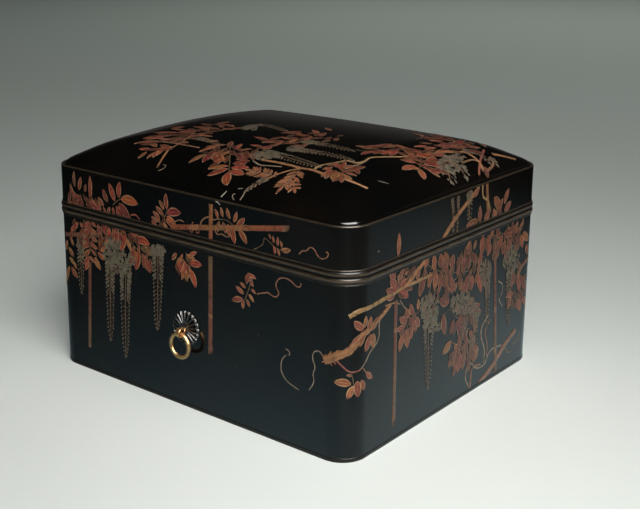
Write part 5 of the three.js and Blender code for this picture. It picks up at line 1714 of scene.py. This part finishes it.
def turnedAbout(verts, facing):
    # Places a front fitting's points, or the back's after a half turn
    return [(-facing * x, facing * (halfDepth - y), z + fitting["height"]) for x, y, z in verts]


def eyeStrip():
    # A flat strip with softened edges, bent to a loop; its legs end in the wall
    f, wall = fitting, boxSizes["bodyWall"]
    radius, leg = f["eyeHole"] + f["strip"] / 2, (f["strip"] + f["legGap"]) / 2
    neck = math.asin(leg / radius)
    droop = math.atan2(f["eyeSag"], f["standOff"] - f["eyeNeck"])
    upper = [(wall + y, leg + z) for y, z in f["legs"]] + [(0, leg), (-f["eyeNeck"], leg)]
    path = list(upper)
    for i in range(f["eyePoints"] + 1):
        t = droop + neck + (2 * math.pi - 2 * neck) * i / f["eyePoints"]
        path.append((-f["standOff"] + radius * math.cos(t), -f["eyeSag"] + radius * math.sin(t)))
    path += [(y, -z) for y, z in reversed(upper)]
    width, thick, (flatter, softer) = f["stripWidth"] / 2, f["strip"] / 2, f["stripSquare"]
    outline = []
    for i in range(f["stripPoints"]):
        t = 2 * math.pi * i / f["stripPoints"]
        c, s = math.cos(t), math.sin(t)
        outline.append((width * math.copysign(abs(c) ** flatter, c), thick * math.copysign(abs(s) ** softer, s)))
    loops = []
    for i, (y, z) in enumerate(path):
        before, after = path[max(0, i - 1)], path[min(len(path) - 1, i + 1)]
        dy, dz = after[0] - before[0], after[1] - before[1]
        long = math.hypot(dy, dz)
        loops.append([(across, y - dz / long * out, z + dy / long * out) for across, out in outline])
    verts, faces = skin(loops)
    count = len(outline)
    faces.append(tuple(range(count)))
    faces.append(tuple(reversed(range(len(verts) - count, len(verts)))))
    return verts, faces


def ringMesh():
    # A round wire, a little uneven along its length
    f, (around, section) = fitting, fitting["ringPoints"]
    middle = -f["eyeSag"] - f["ringDrop"] - f["ringRadius"]
    loops = []
    for i in range(around):
        t = 2 * math.pi * i / around
        wire = f["ringWire"] * (1 + sum(size * math.sin(n * t + start) for size, n, start in f["wireWaves"]))
        loop = []
        for j in range(section):
            u = 2 * math.pi * j / section
            out = f["ringRadius"] + wire * math.cos(u)
            loop.append((out * math.sin(t), -f["standOff"] + wire * math.sin(u), middle + out * math.cos(t)))
        loops.append(loop)
    return skin(loops, closed=True)


def addFitting(node, kind, facing, mesh, finish, body, slot):
    verts, faces = mesh
    return addObject(f"{node}_{kind}", turnedAbout(verts, facing), faces, finish, body, slot, [node], sharp=60)


def buildFittings():
    rosette, depths = rosetteMesh()
    eye, ring = eyeStrip(), ringMesh()
    for side, facing in (("front", -1), ("back", 1)):
        chased = addFitting(f"rosette_{side}", "chased", facing, rosette, darkSilver, "box", "dark_metal")
        hollow = chased.data.attributes.new("hollow", "FLOAT", "POINT")
        hollow.data.foreach_set("value", np.array(depths, np.float32))
        addFitting(f"ring_eye_{side}", "strip", facing, eye, gilt, "box", "gilt_metal")
        addFitting(f"cord_ring_{side}", "wire", facing, ring, gilt, f"{side}_ring", "gilt_metal")
        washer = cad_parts[f"inner_washer_{side}"]
        washer.data.materials.clear()
        washer.data.materials.append(gilt)


buildFittings()
print("fittings built")
